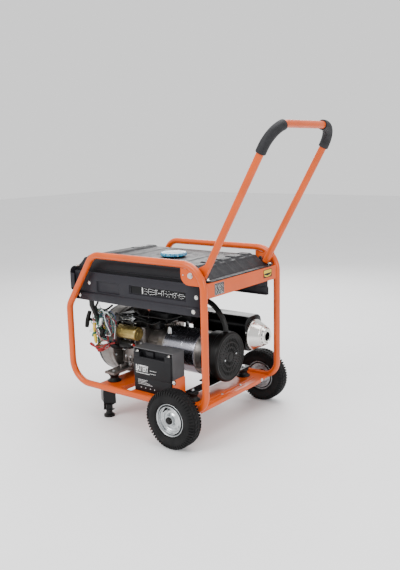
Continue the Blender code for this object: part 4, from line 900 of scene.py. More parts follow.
def make_solenoid(x0, y, z):
    turned(
        "solenoid_body",
        [
            (x0 + 0.016, 0), (x0 + 0.016, 0.0150), (x0 + 0.018, 0.0165), (x0 + 0.064, 0.0165),
            (x0 + 0.066, 0.0150), (x0 + 0.074, 0.0130), (x0 + 0.076, 0.0110), (x0 + 0.076, 0)
        ], "black_plastic", (0, y - 0.004, z), steps=48
    )
    posts = []
    for dy, dz in ((-0.006, 0.005), (0.005, -0.005)):
        place = (x0 + 0.076, y - 0.004 + dy, z + dz)
        posts.append(
            lathe(
                "post",
                soft_profile(
                    [(0, 0), (0, 0.0052), (0.004, 0.0052), (0.004, 0.0028), (0.0115, 0.0028), (0.0115, 0)],
                    0.0004
                ), place, "X", "bright_steel", 16
            )
        )
        posts.append(bolt("nut", (place[0] + 0.004, place[1], place[2]), "X", 0.0048, washer=False))
    merge("solenoid_posts", posts, "bright_steel")
    rounded_box(
        "solenoid_clamp", (x0 + 0.034, y - 0.022, z - 0.018), (x0 + 0.050, y + 0.016, z - 0.0155),
        "zinc_steel"
    )
    boot = [
        at(x0 + 0.082, y - 0.010, z + 0.005), at(x0 + 0.094, y - 0.014, z + 0.001),
        at(x0 + 0.100, y - 0.012, z - 0.012), at(x0 + 0.104, y - 0.006, z - 0.030)
    ]
    sweep("solenoid_lead", curve_points(boot, 0.004), 0.0042, "red_plastic", sides=16)


def make_fan_housing():
    low, high = local_box("fan_housing")
    r = (high.z - low.z) / 2
    front, back = low.x, high.x
    turned(
        "fan_shroud",
        [
            (front, r - 0.0028), (front, r - 0.0002), (front + 0.002, r), (back - 0.022, r),
            (back - 0.020, r - 0.0014), (back - 0.004, r - 0.0014), (back, r - 0.006), (back, 0.0622),
            (back - 0.0026, 0.0622), (back - 0.0030, r - 0.0085)
        ], "cast_aluminium", replaces=["fan_housing"], slot="cast_aluminium"
    )
    low, high = local_box("recoil_cover")
    f0, f1 = low.x, high.x
    turned(
        "recoil_cover_shell",
        [
            (f1, r - 0.0030), (f1, r - 0.0004), (f1 - 0.004, r - 0.0004), (f1 - 0.005, r - 0.0018),
            (f1 - 0.014, r - 0.0024), (f1 - 0.022, r - 0.0110), (f1 - 0.0270, r - 0.0230),
            (f0 + 0.0030, r - 0.0420), (f0 + 0.0010, r - 0.0520), (f0, r - 0.0580), (f0, 0.034),
            (f0 + 0.0030, 0.032), (f0 + 0.0030, 0)
        ], "black_paint", replaces=["recoil_cover"], slot="black_paint"
    )
    slots = []
    for angle, y, z in ring_places(22, 0.062, 0):
        slots.append(
            rounded_box(
                "slot", (f0 - 0.0001, y - 0.0024, z - 0.012), (f0 + 0.0012, y + 0.0024, z + 0.012),
                "gloss_black", 0.0006, 2, ((f0, y, z), "X", math.degrees(angle) - 90)
            )
        )
    merge("recoil_cover_slots", slots, "gloss_black")
    screws = [
        bolt("screw", (f1 - 0.0050, y, z), (-1, 0, 0), 0.0042) for _, y, z in ring_places(6, r - 0.007, 30)
    ]
    merge("recoil_cover_screws", screws, "zinc_steel")
    bolts = [bolt("bolt", (back - 0.0005, y, z), "X", 0.0046) for _, y, z in ring_places(7, r - 0.014, 95)]
    merge("fan_shroud_bolts", bolts, "zinc_steel")


def make_recoil_grip():
    low, high = local_box("recoil_handle")
    entry = joint("recoil_pull")
    pull = Vector(entry["axis"])
    across = Vector((0, pull.z, -pull.y))
    centre = Vector(((low.x + high.x) / 2, low.y + 0.0195, high.z - 0.0335))
    points = []
    for t in range(-12, 13):
        s = t / 12
        points.append(centre + SHIFT + across * (s * 0.0325) + pull * (0.0035 * (1 - s * s)))

    def shape(t):
        return 0.0088 * (0.80 + 0.20 * math.sin(math.pi * min(1, max(0, t))) ** 0.5)

    sweep(
        "recoil_grip", points, shape, "black_plastic", sides=24, body="recoil_pull_body",
        replaces=["recoil_handle"], slot="black_plastic"
    )
    stem = centre + SHIFT
    neck = [stem - pull * 0.046, stem - pull * 0.030, stem - pull * 0.012, stem]
    sweep(
        "recoil_neck", neck, lambda t: 0.0052 + 0.0018 * t, "black_plastic", sides=20,
        body="recoil_pull_body"
    )
    sweep("recoil_rope", [stem - pull * 0.0735, stem - pull * 0.040], 0.0027, "label_white", sides=14,
          body="recoil_pull_body")


def make_crankcase():
    low, high = local_box("crankcase")
    x0 = low.x
    x1 = high.x
    near = CRANKCASE_NEAR
    parts = [
        rounded_box(
            "side_cover", (x0 + 0.020, near - 0.0060, AXIS_Z - 0.052), (x1 - 0.036, near, AXIS_Z + 0.030),
            "cast_aluminium", 0.004
        ),
        rounded_box(
            "top_rail", (x0 + 0.004, near - 0.0035, AXIS_Z + 0.050), (x1 - 0.002, near, AXIS_Z + 0.058),
            "cast_aluminium", 0.002
        ),
        rounded_box(
            "sump_rail", (x0 + 0.004, near - 0.0045, AXIS_Z - 0.075), (x1 - 0.002, near, AXIS_Z - 0.067),
            "cast_aluminium", 0.002
        ),
        rounded_box(
            "deck", (x0 + 0.012, near + 0.012, AXIS_Z + 0.084), (x1 - 0.012, 0.020, AXIS_Z + 0.090),
            "cast_aluminium", 0.003
        ),
    ]
    for index in range(7):
        x = x0 + 0.012 + index * (x1 - x0 - 0.024) / 6
        parts.append(
            rounded_box(
                "rib", (x - 0.0014, near - 0.0042, AXIS_Z - 0.070), (x + 0.0014, near, AXIS_Z + 0.054),
                "cast_aluminium", 0.001, 2
            )
        )
    for index in range(4):
        x = x1 - 0.005
        z = AXIS_Z - 0.060 + index * 0.040
        parts.append(rounded_box("flange_lug", (x - 0.010, near - 0.006, z - 0.007), (x, near, z + 0.007),
                                 "cast_aluminium", 0.002, 2))
    merge("crankcase_ribs", parts, "cast_aluminium")
    bolts = []
    for x in (x0 + 0.026, (x0 + x1) / 2 - 0.008, x1 - 0.042):
        for z in (AXIS_Z - 0.046, AXIS_Z + 0.024):
            bolts.append(bolt("bolt", (x, near - 0.0060, z), (0, -1, 0), 0.0040))
    for index in range(4):
        bolts.append(
            bolt("bolt", (x1 - 0.010, near - 0.0062, AXIS_Z - 0.060 + index * 0.040), (0, -1, 0), 0.0042)
        )
    bolts.append(bolt("drain", (x1 - 0.075, near - 0.003, low.z + 0.021), (0, -1, 0), 0.0085))
    merge("crankcase_bolts", bolts, "zinc_steel")
    make_engine_feet()
    make_oil_cap()


def make_engine_feet():
    feet = []
    mount_low, mount_high = local_box("engine_mount_recoil_end_near")
    x = (mount_low.x + mount_high.x) / 2
    for _, sign in SIDES:
        outer = sign * (-mount_low.y - 0.006)
        a, b = sorted((outer, sign * 0.080))
        feet.append(
            rounded_box(
                "arm", (x - 0.012, a, mount_high.z + 0.0006), (x + 0.014, b, mount_high.z + 0.0090),
                "cast_aluminium", 0.003
            )
        )
        a, b = sorted((sign * 0.085, sign * 0.128))
        feet.append(
            rounded_box(
                "gusset", (x - 0.005, a, mount_high.z + 0.006), (x + 0.003, b, mount_high.z + 0.026),
                "cast_aluminium", 0.003, 3
            )
        )
    merge("crankcase_arms", feet, "cast_aluminium")


def make_oil_cap():
    low, high = local_box("oil_cap")
    place = ((low.x + high.x) / 2, high.y, (low.z + high.z) / 2)
    profile = soft_profile(
        [
            (0, 0), (0, 0.0168), (0.004, 0.0168), (0.005, 0.0130), (0.0160, 0.0118), (0.0172, 0.0105),
            (0.0172, 0)
        ], 0.0008
    )
    lathe("oil_cap_body", profile, place, (0, -1, 0), "black_plastic", 48, body="oil_cap_body",
          replaces=["oil_cap"], slot="black_plastic")
    grips = []
    for index in range(8):
        angle = math.radians(45 * index)
        x = place[0] + 0.0122 * math.cos(angle)
        z = place[2] + 0.0122 * math.sin(angle)
        grips.append(
            rounded_box(
                "grip", (x - 0.0016, place[1] - 0.0165, z - 0.0016),
                (x + 0.0016, place[1] - 0.0045, z + 0.0016), "black_plastic", 0.0007, 2
            )
        )
    merge("oil_cap_grips", grips, "black_plastic", body="oil_cap_body")


def make_engine_mounts():
    for end in ("recoil_end", "handle_end"):
        for side, _ in SIDES:
            node = f"engine_mount_{end}_{side}"
            low, high = local_box(node)
            x = (low.x + high.x) / 2
            y = (low.y + high.y) / 2
            r = (high.x - low.x) / 2
            z0, z1 = low.z, high.z
            profile = [
                (0, 0), (0, r), (0.0032, r), (0.0042, r - 0.0030), (0.0095, r * 0.66), (0.0150, r * 0.60),
                (z1 - z0 - 0.0090, r * 0.66), (z1 - z0 - 0.0050, r * 0.80), (z1 - z0, r * 0.80),
                (z1 - z0, 0)
            ]
            lathe(f"mount_rubber_{end}_{side}", soft_profile(profile, 0.001), (x, y, z0), "Z", "rubber", 48,
                  replaces=[node], slot="rubber")
            merge(f"mount_nut_{end}_{side}", [bolt("nut", (x, y, z1 + 0.0072), "Z", 0.0068)], "zinc_steel")


make_alternator()
make_starter()
make_fan_housing()
make_recoil_grip()
make_crankcase()
make_engine_mounts()


# ---- Exhaust ----
MUFFLER_LENGTH = 0.252
MUFFLER_CORNER = 0.034


def make_muffler():
    low, high = local_box("muffler")
    y0, y1, z0, z1 = low.y, high.y, low.z, high.z
    x1 = high.x
    x0 = x1 - MUFFLER_LENGTH
    outline = rounded_rect(y0, y1, z0, z1, MUFFLER_CORNER, 10)
    prism("muffler_can", outline, "X", x0 + 0.003, x1 - 0.003, "gloss_black", 0.003, 3, replaces=["muffler"],
          slot="black_paint")
    rims = []
    rims.append(prism("rim", outline, "X", x1 - 0.0060, x1, "gloss_black", 0.0012, 3))
    rims.append(prism("rim", outline, "X", x0, x0 + 0.0060, "gloss_black", 0.0012, 3))
    inner = rounded_rect(y0 + 0.006, y1 - 0.006, z0 + 0.006, z1 - 0.006, 0.028, 10)
    rims.append(prism("face", inner, "X", x1 - 0.002, x1 + 0.0002, "gloss_black", 0.0004, 2))
    merge("muffler_rims", rims, "gloss_black")
    port = (x0 - 0.050, (y0 + y1) / 2 - 0.006, (z0 + z1) / 2 + 0.010)
    turned("exhaust_pipe", [(low.x, 0.0105), (low.x, 0.0140), (x0 + 0.003, 0.0140), (x0 + 0.003, 0.0105)],
           "cast_aluminium", (0, port[1], port[2]), steps=48)
    rounded_box("exhaust_flange", (low.x + 0.0005, port[1] - 0.027, port[2] - 0.019),
                (low.x + 0.0075, port[1] + 0.027, port[2] + 0.019), "cast_aluminium", 0.003)
    straps = []
    for x in (x0 + 0.060, x0 + 0.185):
        straps.append(
            rounded_box(
                "strap", (x - 0.012, (y0 + y1) / 2 - 0.030, z0 - 0.0025),
                (x + 0.012, (y0 + y1) / 2 + 0.030, z0 + 0.002), "gloss_black"
            )
        )
    merge("muffler_straps", straps, "gloss_black")
    make_cone()


def make_cone():
    low, high = local_box("spark_arrestor")
    base, tip = low.x, high.x
    centre = (0, (low.y + high.y) / 2, (low.z + high.z) / 2)
    r = (high.z - low.z) / 2
    turned(
        "arrestor_cone",
        [
            (base, r - 0.002), (base, r), (base + 0.0095, r), (base + 0.0110, r - 0.0012),
            (base + 0.0128, r - 0.0030), (tip - 0.0165, 0.0405), (tip - 0.0150, 0.0385),
            (tip - 0.0130, 0.0380), (tip - 0.0015, 0.0310), (tip, 0.0290), (tip, 0.0262),
            (tip - 0.0040, 0.0240), (tip - 0.0055, 0.0205), (tip - 0.0010, 0.0195), (tip, 0.0188),
            (tip - 0.0002, 0.0178), (tip - 0.030, 0.0178)
        ], "bright_steel", centre, 120, 0.0006, replaces=["spark_arrestor"], slot="steel"
    )
    turned(
        "arrestor_bead",
        [
            (base + 0.0030, r - 0.0010), (base + 0.0036, r + 0.0000), (base + 0.0060, r + 0.0000),
            (base + 0.0066, r - 0.0010)
        ], "zinc_steel", centre, 120, 0.0003
    )
    louvres = []
    for angle, y, z in ring_places(14, 0.0335, 5, centre):
        louvres.append(
            rounded_box(
                "louvre", (tip - 0.0105, y - 0.0032, z - 0.0011), (tip - 0.0045, y + 0.0032, z + 0.0011),
                "gloss_black", 0.0006, 2, ((tip - 0.008, y, z), "X", math.degrees(angle) + 90)
            )
        )
    merge("arrestor_louvres", louvres, "gloss_black")
    turned(
        "arrestor_throat",
        [(tip - 0.030, 0.0178), (tip - 0.004, 0.0176), (tip - 0.030, 0.0160), (tip - 0.031, 0)],
        "gloss_black", centre, 64, 0.0004
    )


make_muffler()


# ---- Panels ----
PANEL_LOW, PANEL_HIGH = local_box("side_panel")
PANEL_STEP_TOP = PANEL_LOW.z + 0.033
PANEL_RECESS = 0.006
WINDOW_DEPTH = 0.0080
WINDOWS = {
    "near": (((-0.195, -0.076), (0.498, 0.541)), ((-0.028, 0.237), (0.509, 0.541))),
    "far": (((-0.165, -0.015), (0.500, 0.560)), ((0.115, 0.200), (0.500, 0.560))),
}


def make_panel(side, sign):
    """A folded panel: recessed face with pressed windows, a proud lower strip and inward flanges."""
    windows = WINDOWS[side]
    outer = -PANEL_LOW.y
    face = outer - PANEL_RECESS
    x0, x1 = PANEL_LOW.x, PANEL_HIGH.x
    z0, z1 = PANEL_LOW.z, PANEL_HIGH.z
    heights = sorted({z for window in windows for z in window[1]} | {z1, PANEL_STEP_TOP})
    xs = sorted({x0, x1} | {x for window in windows for x in window[0]})
    bm = bmesh.new()
    spots = {}

    def vert(x, y, z):
        key = (round(x, 6), round(y, 6), round(z, 6))
        if key not in spots:
            spots[key] = bm.verts.new(at(x, sign * y, z))
        return spots[key]

    for xa, xb in zip(xs, xs[1:]):
        for za, zb in zip(heights, heights[1:]):
            if any(w[0][0] <= xa and xb <= w[0][1] and w[1][0] <= za and zb <= w[1][1] for w in windows):
                continue
            bm.faces.new([vert(xa, face, za), vert(xb, face, za), vert(xb, face, zb), vert(xa, face, zb)])
        rows = [(face, PANEL_STEP_TOP), (outer, PANEL_STEP_TOP - 0.006), (outer, z0), (outer - 0.018, z0)]
        rows_up = [(face, z1), (face - 0.012, z1)]
        for strip in (rows, rows_up):
            for (ya, za), (yb, zb) in zip(strip, strip[1:]):
                bm.faces.new([vert(xa, ya, za), vert(xb, ya, za), vert(xb, yb, zb), vert(xa, yb, zb)])
    for (wa, wb), (ha, hb) in windows:
        rim = [(x, ha) for x in xs if wa <= x <= wb] + [(wb, z) for z in heights if ha < z < hb]
        rim += [(x, hb) for x in reversed(xs) if wa <= x <= wb] + [
            (wa, z) for z in reversed(heights) if ha < z < hb
        ]
        middle = Vector(((wa + wb) / 2, (ha + hb) / 2))
        inner = []
        for x, z in rim:
            inner.append(vert(x + math.copysign(0.0022, middle.x - x), face - WINDOW_DEPTH,
                              z + (math.copysign(0.0022, middle.y - z) if z in (ha, hb) else 0)))
        outer_ring = [vert(x, face, z) for x, z in rim]
        join_rings(bm, outer_ring, inner)
        bm.faces.new(inner)
    bm.normal_update()
    folds = [e for e in bm.edges if len(e.link_faces) == 2 and e.calc_face_angle(0) > math.radians(25)]
    bmesh.ops.bevel(
        bm, geom=folds, offset=0.0014, segments=3, profile=0.5, affect="EDGES", clamp_overlap=True
    )
    node = "side_panel" if side == "near" else "control_panel"
    panel = finish_mesh(
        f"pressed_panel_{side}", bm, "panel_paint", replaces=[node], slot="panel_paint", smooth=40
    )
    sheet = panel.modifiers.new("sheet", "SOLIDIFY")
    sheet.thickness = 0.0014
    sheet.offset = -1
    return face


def make_panel_marks(face):
    """Plain white marks in the large window: bars, lines and dots, with no letters."""
    rng = random.Random(7)
    y = -(face - WINDOW_DEPTH) - LIFT
    prism(
        "panel_inlay", rounded_rect(-0.024, 0.233, 0.5125, 0.5375, 0.002), "Y", y - 0.0001, y + 0.0004,
        "gloss_black", 0
    )
    y -= 0.0002
    marks = [
        rounded_box(
            "mark", (0.030, y - 0.0002, 0.5135), (0.035, y + 0.0006, 0.5370), "label_white", 0.0001, 1
        )
    ]
    x = 0.043
    while x < 0.226:
        width = rng.uniform(0.0025, 0.0065)
        low = rng.uniform(0.5140, 0.5180)
        high = rng.uniform(0.5300, 0.5360)
        kind = rng.random()
        if kind < 0.45:
            for level in (low, (low + high) / 2, high - 0.0012):
                marks.append(
                    rounded_box(
                        "mark", (x, y - 0.0002, level), (x + width, y + 0.0006, level + 0.0012),
                        "label_white", 0.0001, 1
                    )
                )
        elif kind < 0.75:
            marks.append(
                rounded_box(
                    "mark", (x, y - 0.0002, low), (x + 0.0010, y + 0.0006, high), "label_white", 0.0001, 1
                )
            )
            marks.append(rounded_box("mark", (x, y - 0.0002, high - 0.002), (x + width, y + 0.0006, high),
                                     "label_white", 0.0001, 1))
        else:
            marks.append(
                rounded_box(
                    "mark", (x, y - 0.0002, (low + high) / 2 - 0.001),
                    (x + width, y + 0.0006, (low + high) / 2 + 0.001), "label_white", 0.0001, 1
                )
            )
        x += width + rng.uniform(0.0016, 0.0036)
    merge("panel_marks", marks, "label_white")


def make_panel_bolts(face, outer):
    upper = [(-0.234, 0.531), (0.283, 0.529)]
    lower = [(-0.283, 0.479), (0.274, 0.479)]
    for side, sign in SIDES:
        bolts = [bolt("bolt", (x, sign * face, z), (0, sign, 0), 0.0062, hexagon=False) for x, z in upper]
        bolts += [bolt("bolt", (x, sign * outer, z), (0, sign, 0), 0.0062, hexagon=False) for x, z in lower]
        merge(f"panel_bolts_{side}", bolts, "bright_steel")
    x = local_box("recoil_end_panel")[0].x
    bolts = [bolt("bolt", (x, y, z), (-1, 0, 0), 0.0062, hexagon=False) for z in (0.570, 0.505)
             for y in (-0.191, 0.191)]
    merge("end_panel_bolts", bolts, "bright_steel")


def make_end_panel():
    low, high = local_box("recoil_end_panel")
    outline = arc_corners([((low.y + 0.001, low.z), 0.010), ((high.y - 0.001, low.z), 0.010),
                           ((high.y - 0.001, high.z), 0.022), ((low.y + 0.001, high.z), 0.022)], steps=8)
    prism("end_panel_sheet", outline, "X", low.x, low.x + 0.002, "panel_paint", 0.0006,
          replaces=["recoil_end_panel"], slot="panel_paint")
    sides = []
    for sign in (-1, 1):
        a, b = sorted((sign * high.y, sign * (high.y - 0.002)))
        sides.append(
            rounded_box(
                "side", (low.x + 0.001, a, low.z + 0.012), (high.x, b, high.z - 0.024), "panel_paint",
                0.0006
            )
        )
    merge("end_panel_sides", sides, "panel_paint")
    recess = rounded_rect(-0.120, 0.120, low.z + 0.018, high.z - 0.020, 0.008)
    prism("end_panel_rim", recess, "X", low.x - 0.0012, low.x + 0.0005, "panel_paint", 0.0009, 3)


for panel_side, panel_sign in SIDES:
    panel_face = make_panel(panel_side, panel_sign)
make_panel_marks(panel_face)
make_panel_bolts(panel_face, -PANEL_LOW.y)
make_end_panel()


# ---- Labels on the crossbar ----
def make_labels():
    x = local_box("handle_end_crossbar")[1].x
    parts = []
    prism(
        "rating_plate", rounded_rect(-0.182, -0.126, 0.5345, 0.5755, 0.002), "X", x, x + 0.0005,
        "label_grey", 0
    )
    prism("rating_face", rounded_rect(-0.1800, -0.1280, 0.5365, 0.5735, 0.0015), "X", x + 0.0003, x + 0.0007,
          "gloss_black", 0)
    rng = random.Random(3)
    for row in range(9):
        z = 0.5700 - row * 0.0040
        y = -0.178
        while y < -0.131:
            width = rng.uniform(0.003, 0.012)
            parts.append(
                rounded_box(
                    "line", (x + 0.0006, y, z - 0.0005), (x + 0.0009, min(y + width, -0.130), z + 0.0005),
                    "label_white", 0.0001, 1
                )
            )
            y += width + rng.uniform(0.002, 0.006)
    merge("rating_lines", parts, "label_white")
    prism(
        "warning_back", rounded_rect(0.132, 0.190, 0.5435, 0.5735, 0.0015), "X", x, x + 0.0005,
        "gloss_black", 0
    )
    prism("warning_yellow", rounded_rect(0.1340, 0.1880, 0.5600, 0.5718, 0.001), "X", x + 0.0003, x + 0.0007,
          "yellow_plastic", 0)
    shape = [(0.1350, 0.5590), (0.1395, 0.5488), (0.1600, 0.5455), (0.1825, 0.5488), (0.1870, 0.5590),
             (0.1790, 0.5535), (0.1600, 0.5500), (0.1430, 0.5535)]
    prism("warning_stripe", shape, "X", x + 0.0003, x + 0.0007, "yellow_plastic", 0)


make_labels()


# ---- Handle-end base rail and battery bracket ----
def make_handle_end_rail():
    """Top plate with pressed ribs along it, a turned-down flange and chamfered ends."""
    low, high = local_box("handle_end_base_rail")
    top = high.z
    x1 = high.x
    half = high.y
    parts = [
        rounded_box("plate", (low.x, -half, top - 0.003), (x1 - 0.002, half, top), "orange_paint", 0.0012),
        rounded_box(
            "rib", (x1 - 0.038, -half + 0.020, top - 0.001), (x1 - 0.030, half - 0.060, top + 0.0030),
            "orange_paint", 0.0028, 4
        ),
        rounded_box(
            "rib", (x1 - 0.020, -half + 0.020, top - 0.001), (x1 - 0.013, half - 0.150, top + 0.0024),
            "orange_paint", 0.0022, 4
        ),
    ]
    flange = [(-half, top - 0.001), (half, top - 0.001), (half, top - 0.005), (half - 0.070, low.z + 0.0002),
              (-half, low.z + 0.0002)]
    parts.append(prism("flange", flange, "X", x1 - 0.003, x1, "orange_paint", 0.0010, 3))
    merge(
        "base_rail_pressing", parts, "orange_paint", replaces=["handle_end_base_rail"], slot="orange_paint"
    )
    bolts = [bolt("bolt", (x1 - 0.0265, y, top), "Z", 0.0050) for y in (-0.060, 0.060)]
    bolts.append(bolt("bolt", (x1, half - 0.050, top - 0.006), "X", 0.0052, hexagon=False))
    merge("base_rail_bolts", bolts, "zinc_steel")


def make_battery_bracket():
    low, high = local_box("battery_tray")
    battery_high = local_box("battery")[1]
    y = -0.2015
    rounded = [
        ((battery_high.x + 0.002, low.z + 0.001), 0.0),
        ((high.x, low.z + 0.001), 0.0),
        ((high.x, high.z), 0.004),
        ((battery_high.x + 0.006, low.z + 0.0700), 0.006),
        ((battery_high.x + 0.002, low.z + 0.0640), 0.003),
    ]
    parts = [prism("bracket", arc_corners(rounded, steps=4), "Y", y, y + 0.003, "orange_paint", 0.0008)]
    tray_top = low.z + 0.003
    parts.append(
        rounded_box("tray", (low.x, low.y, low.z), (0.1860, high.y, tray_top), "orange_paint", 0.0010)
    )
    parts.append(
        rounded_box("tab", (0.1850, low.y, low.z), (high.x, y + 0.003, tray_top), "orange_paint", 0.0010)
    )
    merge("battery_tray_sheet", parts, "orange_paint", replaces=["battery_tray"], slot="orange_paint")
    rounded_box(
        "bracket_pad", (0.1535, y - 0.0016, 0.1890), (0.1680, y + 0.0004, 0.2060), "black_plastic", 0.0008
    )
    merge("bracket_bolt", [bolt("bolt", (0.1605, y - 0.0016, 0.1972), (0, -1, 0), 0.0056, hexagon=False)],
          "bright_steel")


make_handle_end_rail()
make_battery_bracket()


# ---- Fuel tank ----
TANK_SEAM = 0.5818
TANK_TOP = 0.6225
RECOIL_SLOPE = 0.036
HANDLE_SLOPE = 0.046


def smooth_step(value, start, end):
    t = max(0.0, min(1.0, (value - start) / (end - start)))
    return t * t * (3 - 2 * t)


def spread(low, high, edge, fine, coarse):
    """Stations from low to high, closer together within edge of each end."""
    count = max(1, round((high - low - 2 * edge) / coarse))
    ends = max(1, round(edge / fine))
    stations = [low + edge * index / ends for index in range(ends)]
    stations += [low + edge + (high - low - 2 * edge) * index / count for index in range(count)]
    return stations + [high - edge + edge * index / ends for index in range(ends + 1)]


def tank_height(x, y, x0, x1, half):
    """Height of the tank's upper pressing: sloped ends, rounded sides and pressed plateaus."""
    wave = 0.5 + 0.5 * math.cos(2 * math.pi * y / 0.062)
    slope_start = x1 - HANDLE_SLOPE - 0.006 * smooth_step(wave, 0.25, 0.75) * smooth_step(
        half - abs(y), 0.012, 0.030
    )
    ends = min(1.0, max(0.0, (x - x0) / RECOIL_SLOPE), max(0.0, (x1 - x) / (x1 - slope_start)))
    ends = ends if ends < 0.80 else 0.80 + 0.20 * math.sin((ends - 0.80) / 0.20 * math.pi / 2)
    side = min(1.0, (half - abs(y)) / 0.017)
    sides = math.sqrt(max(0.0, 1 - (1 - side) ** 2))
    raised = smooth_step(x, -0.279, -0.271) * (1 - smooth_step(x, -0.230, -0.222))
    raised *= 1 - smooth_step(abs(y), 0.176, 0.184)
    blocks = 0.0
    for low, high in ((-0.178, -0.112), (-0.098, -0.036), (-0.022, 0.042), (0.056, 0.118), (0.132, 0.178)):
        blocks = max(blocks, smooth_step(y, low, low + 0.007) * (1 - smooth_step(y, high - 0.007, high)))
    blocks *= smooth_step(x, 0.203, 0.210) * (1 - smooth_step(x, 0.252, 0.262))
    dish = smooth_step(0.092 - math.hypot(x - 0.008, y - 0.004), 0, 0.012)
    groove = 0.0
    for middle in (-0.150, 0.135):
        groove = max(groove, 1 - smooth_step(abs(x - middle), 0.0035, 0.0075))
    groove *= 1 - smooth_step(abs(y), 0.150, 0.160)
    extra = 0.0075 * max(raised, blocks) - 0.0020 * dish - 0.0026 * groove
    return TANK_SEAM + 0.003 + (TANK_TOP - TANK_SEAM - 0.003) * ends * sides + extra * min(ends, sides)


def make_tank():
    low, high = local_box("fuel_tank")
    x0 = low.x + 0.006
    x1 = LOOP_X - 0.019
    half = LOOP_Y - 0.039
    xs = spread(x0, x1, 0.062, 0.0031, 0.0042)
    ys = spread(-half, half, 0.020, 0.0017, 0.0042)
    bm = bmesh.new()
    grid = [[bm.verts.new(at(x, y, tank_height(x, y, x0, x1, half))) for y in ys] for x in xs]
    for row, after in zip(grid, grid[1:]):
        for index in range(len(ys) - 1):
            bm.faces.new([row[index], after[index], after[index + 1], row[index + 1]])
    rim = [row[0] for row in grid] + grid[-1][1:] + [row[-1] for row in reversed(grid[:-1])]
    rim += [vert for vert in reversed(grid[0][1:-1])]
    foot = [bm.verts.new((vert.co.x, vert.co.y, TANK_SEAM + 0.001)) for vert in rim]
    join_rings(bm, rim, foot)
    bm.faces.new(foot)
    finish_mesh("tank_upper_shell", bm, "tank_paint", replaces=["fuel_tank"], slot="black_paint", smooth=60)
    basin = [((x0 + 0.001, low.z), 0.012), ((0.3000, low.z), 0.012), ((0.3000, TANK_SEAM), 0.001),
             ((x0 + 0.001, TANK_SEAM), 0.001)]
    prism(
        "tank_basin", arc_corners(basin, steps=5), "Y", -half, half, "tank_paint", 0.009, 4,
        slot="black_paint"
    )
    flanges = [
        prism(
            "flange", rounded_rect(low.x, high.x, low.y, high.y, 0.016), "Z", TANK_SEAM, TANK_SEAM + 0.0016,
            "tank_paint", 0.0006
        ),
        prism(
            "flange", rounded_rect(low.x + 0.0012, high.x - 0.0012, low.y + 0.0012, high.y - 0.0012, 0.015),
            "Z", TANK_SEAM + 0.0015, TANK_SEAM + 0.0033, "tank_paint", 0.0006
        ),
    ]
    merge("tank_flanges", flanges, "tank_paint", slot="black_paint")
    make_tank_fittings()


def make_tank_fittings():
    lathe(
        "tank_neck",
        soft_profile(
            [(-0.006, 0.030), (-0.006, 0.0460), (-0.001, 0.0440), (0.0030, 0.0350), (0.0030, 0.0300)],
            0.0015
        ), (0.008, 0.004, TANK_TOP), "Z", "gloss_black", 64
    )
    top = TANK_TOP + 0.0075
    prism("gauge_bezel", rounded_rect(-0.2640, -0.2360, 0.055, 0.150, 0.006), "Z", top - 0.002, top + 0.0018,
          "gloss_black", 0.0012, 3)
    # The pale grey gauge window is partly the window's own colour and partly a painted glint along the
    # bezel.
    prism(
        "gauge_window_painted_glint", rounded_rect(-0.2585, -0.2415, 0.064, 0.141, 0.003), "Z", top + 0.0010, top + 0.0022,
        "label_grey", 0.0005, 2
    )
    for x, label in ((0.3190, "handle_end"), (-0.3120, "recoil_end")):
        washers = []
        bolts = []
        for y in (-0.2010, 0.2010):
            place = (x, y, TANK_SEAM + 0.0032)
            washers.append(
                lathe(
                    "washer",
                    soft_profile(
                        [(0, 0), (0, 0.0120), (0.0030, 0.0120), (0.0036, 0.0085), (0.0036, 0)], 0.0008
                    ), place, "Z", "rubber", 32
                )
            )
            bolts.append(bolt("bolt", (x, y, TANK_SEAM + 0.0066), "Z", 0.0070, "bright_steel"))
        merge(f"tank_washers_{label}", washers, "rubber")
        merge(f"tank_bolts_{label}", bolts, "bright_steel")


def make_fuel_cap():
    """A scalloped cap: sixteen finger lobes, a raised grip bar and a pale pressed top."""
    low, high = local_box("fuel_cap")
    centre = ((low.x + high.x) / 2, (low.y + high.y) / 2)
    r = (high.x - low.x) / 2
    height = high.z - low.z
    bm = bmesh.new()
    steps = 160
    rings = []
    for z, shrink, depth in (
        (0, 0.0012, 0.9), (0.0008, 0.0002, 1.0), (height * 0.62, 0.0006, 1.0), (height * 0.80, 0.0024, 0.8),
        (height * 0.86, 0.0052, 0.45), (height * 0.80, 0.0085, 0.15), (height * 0.76, 0.0110, 0)
    ):
        ring = []
        for step in range(steps):
            angle = 2 * math.pi * step / steps
            notch = max(0.0, math.cos(16 * angle)) ** 2 * 0.0034 * depth
            radius = r - shrink - notch
            ring.append(
                bm.verts.new(
                    at(
                        centre[0] + radius * math.cos(angle), centre[1] + radius * math.sin(angle),
                        low.z + z
                    )
                )
            )
        rings.append(ring)
    for first, second in zip(rings, rings[1:]):
        join_rings(bm, first, second)
    bm.faces.new(rings[-1])
    bm.faces.new(rings[0][::-1])
    finish_mesh("fuel_cap_shell", bm, "blue_plastic", body="fuel_cap_body", replaces=["fuel_cap"],
                slot="blue_plastic", smooth=40)
    place = (centre[0], centre[1], low.z)
    lathe(
        "fuel_cap_plate",
        soft_profile(
            [
                (height * 0.70, 0), (height * 0.70, r - 0.0125), (height * 0.84, r - 0.0130),
                (height * 0.88, r - 0.0160), (height * 0.84, r - 0.0200), (height * 0.85, 0)
            ], 0.0008
        ), place, "Z", "cap_top", 96, body="fuel_cap_body"
    )
    rounded_box("fuel_cap_bar", (place[0] - 0.030, place[1] - 0.0055, low.z + height * 0.80),
                (place[0] + 0.030, place[1] + 0.0055, high.z), "cap_top", 0.0020, 3,
                (place, "Z", 38), body="fuel_cap_body")


make_tank()
make_fuel_cap()


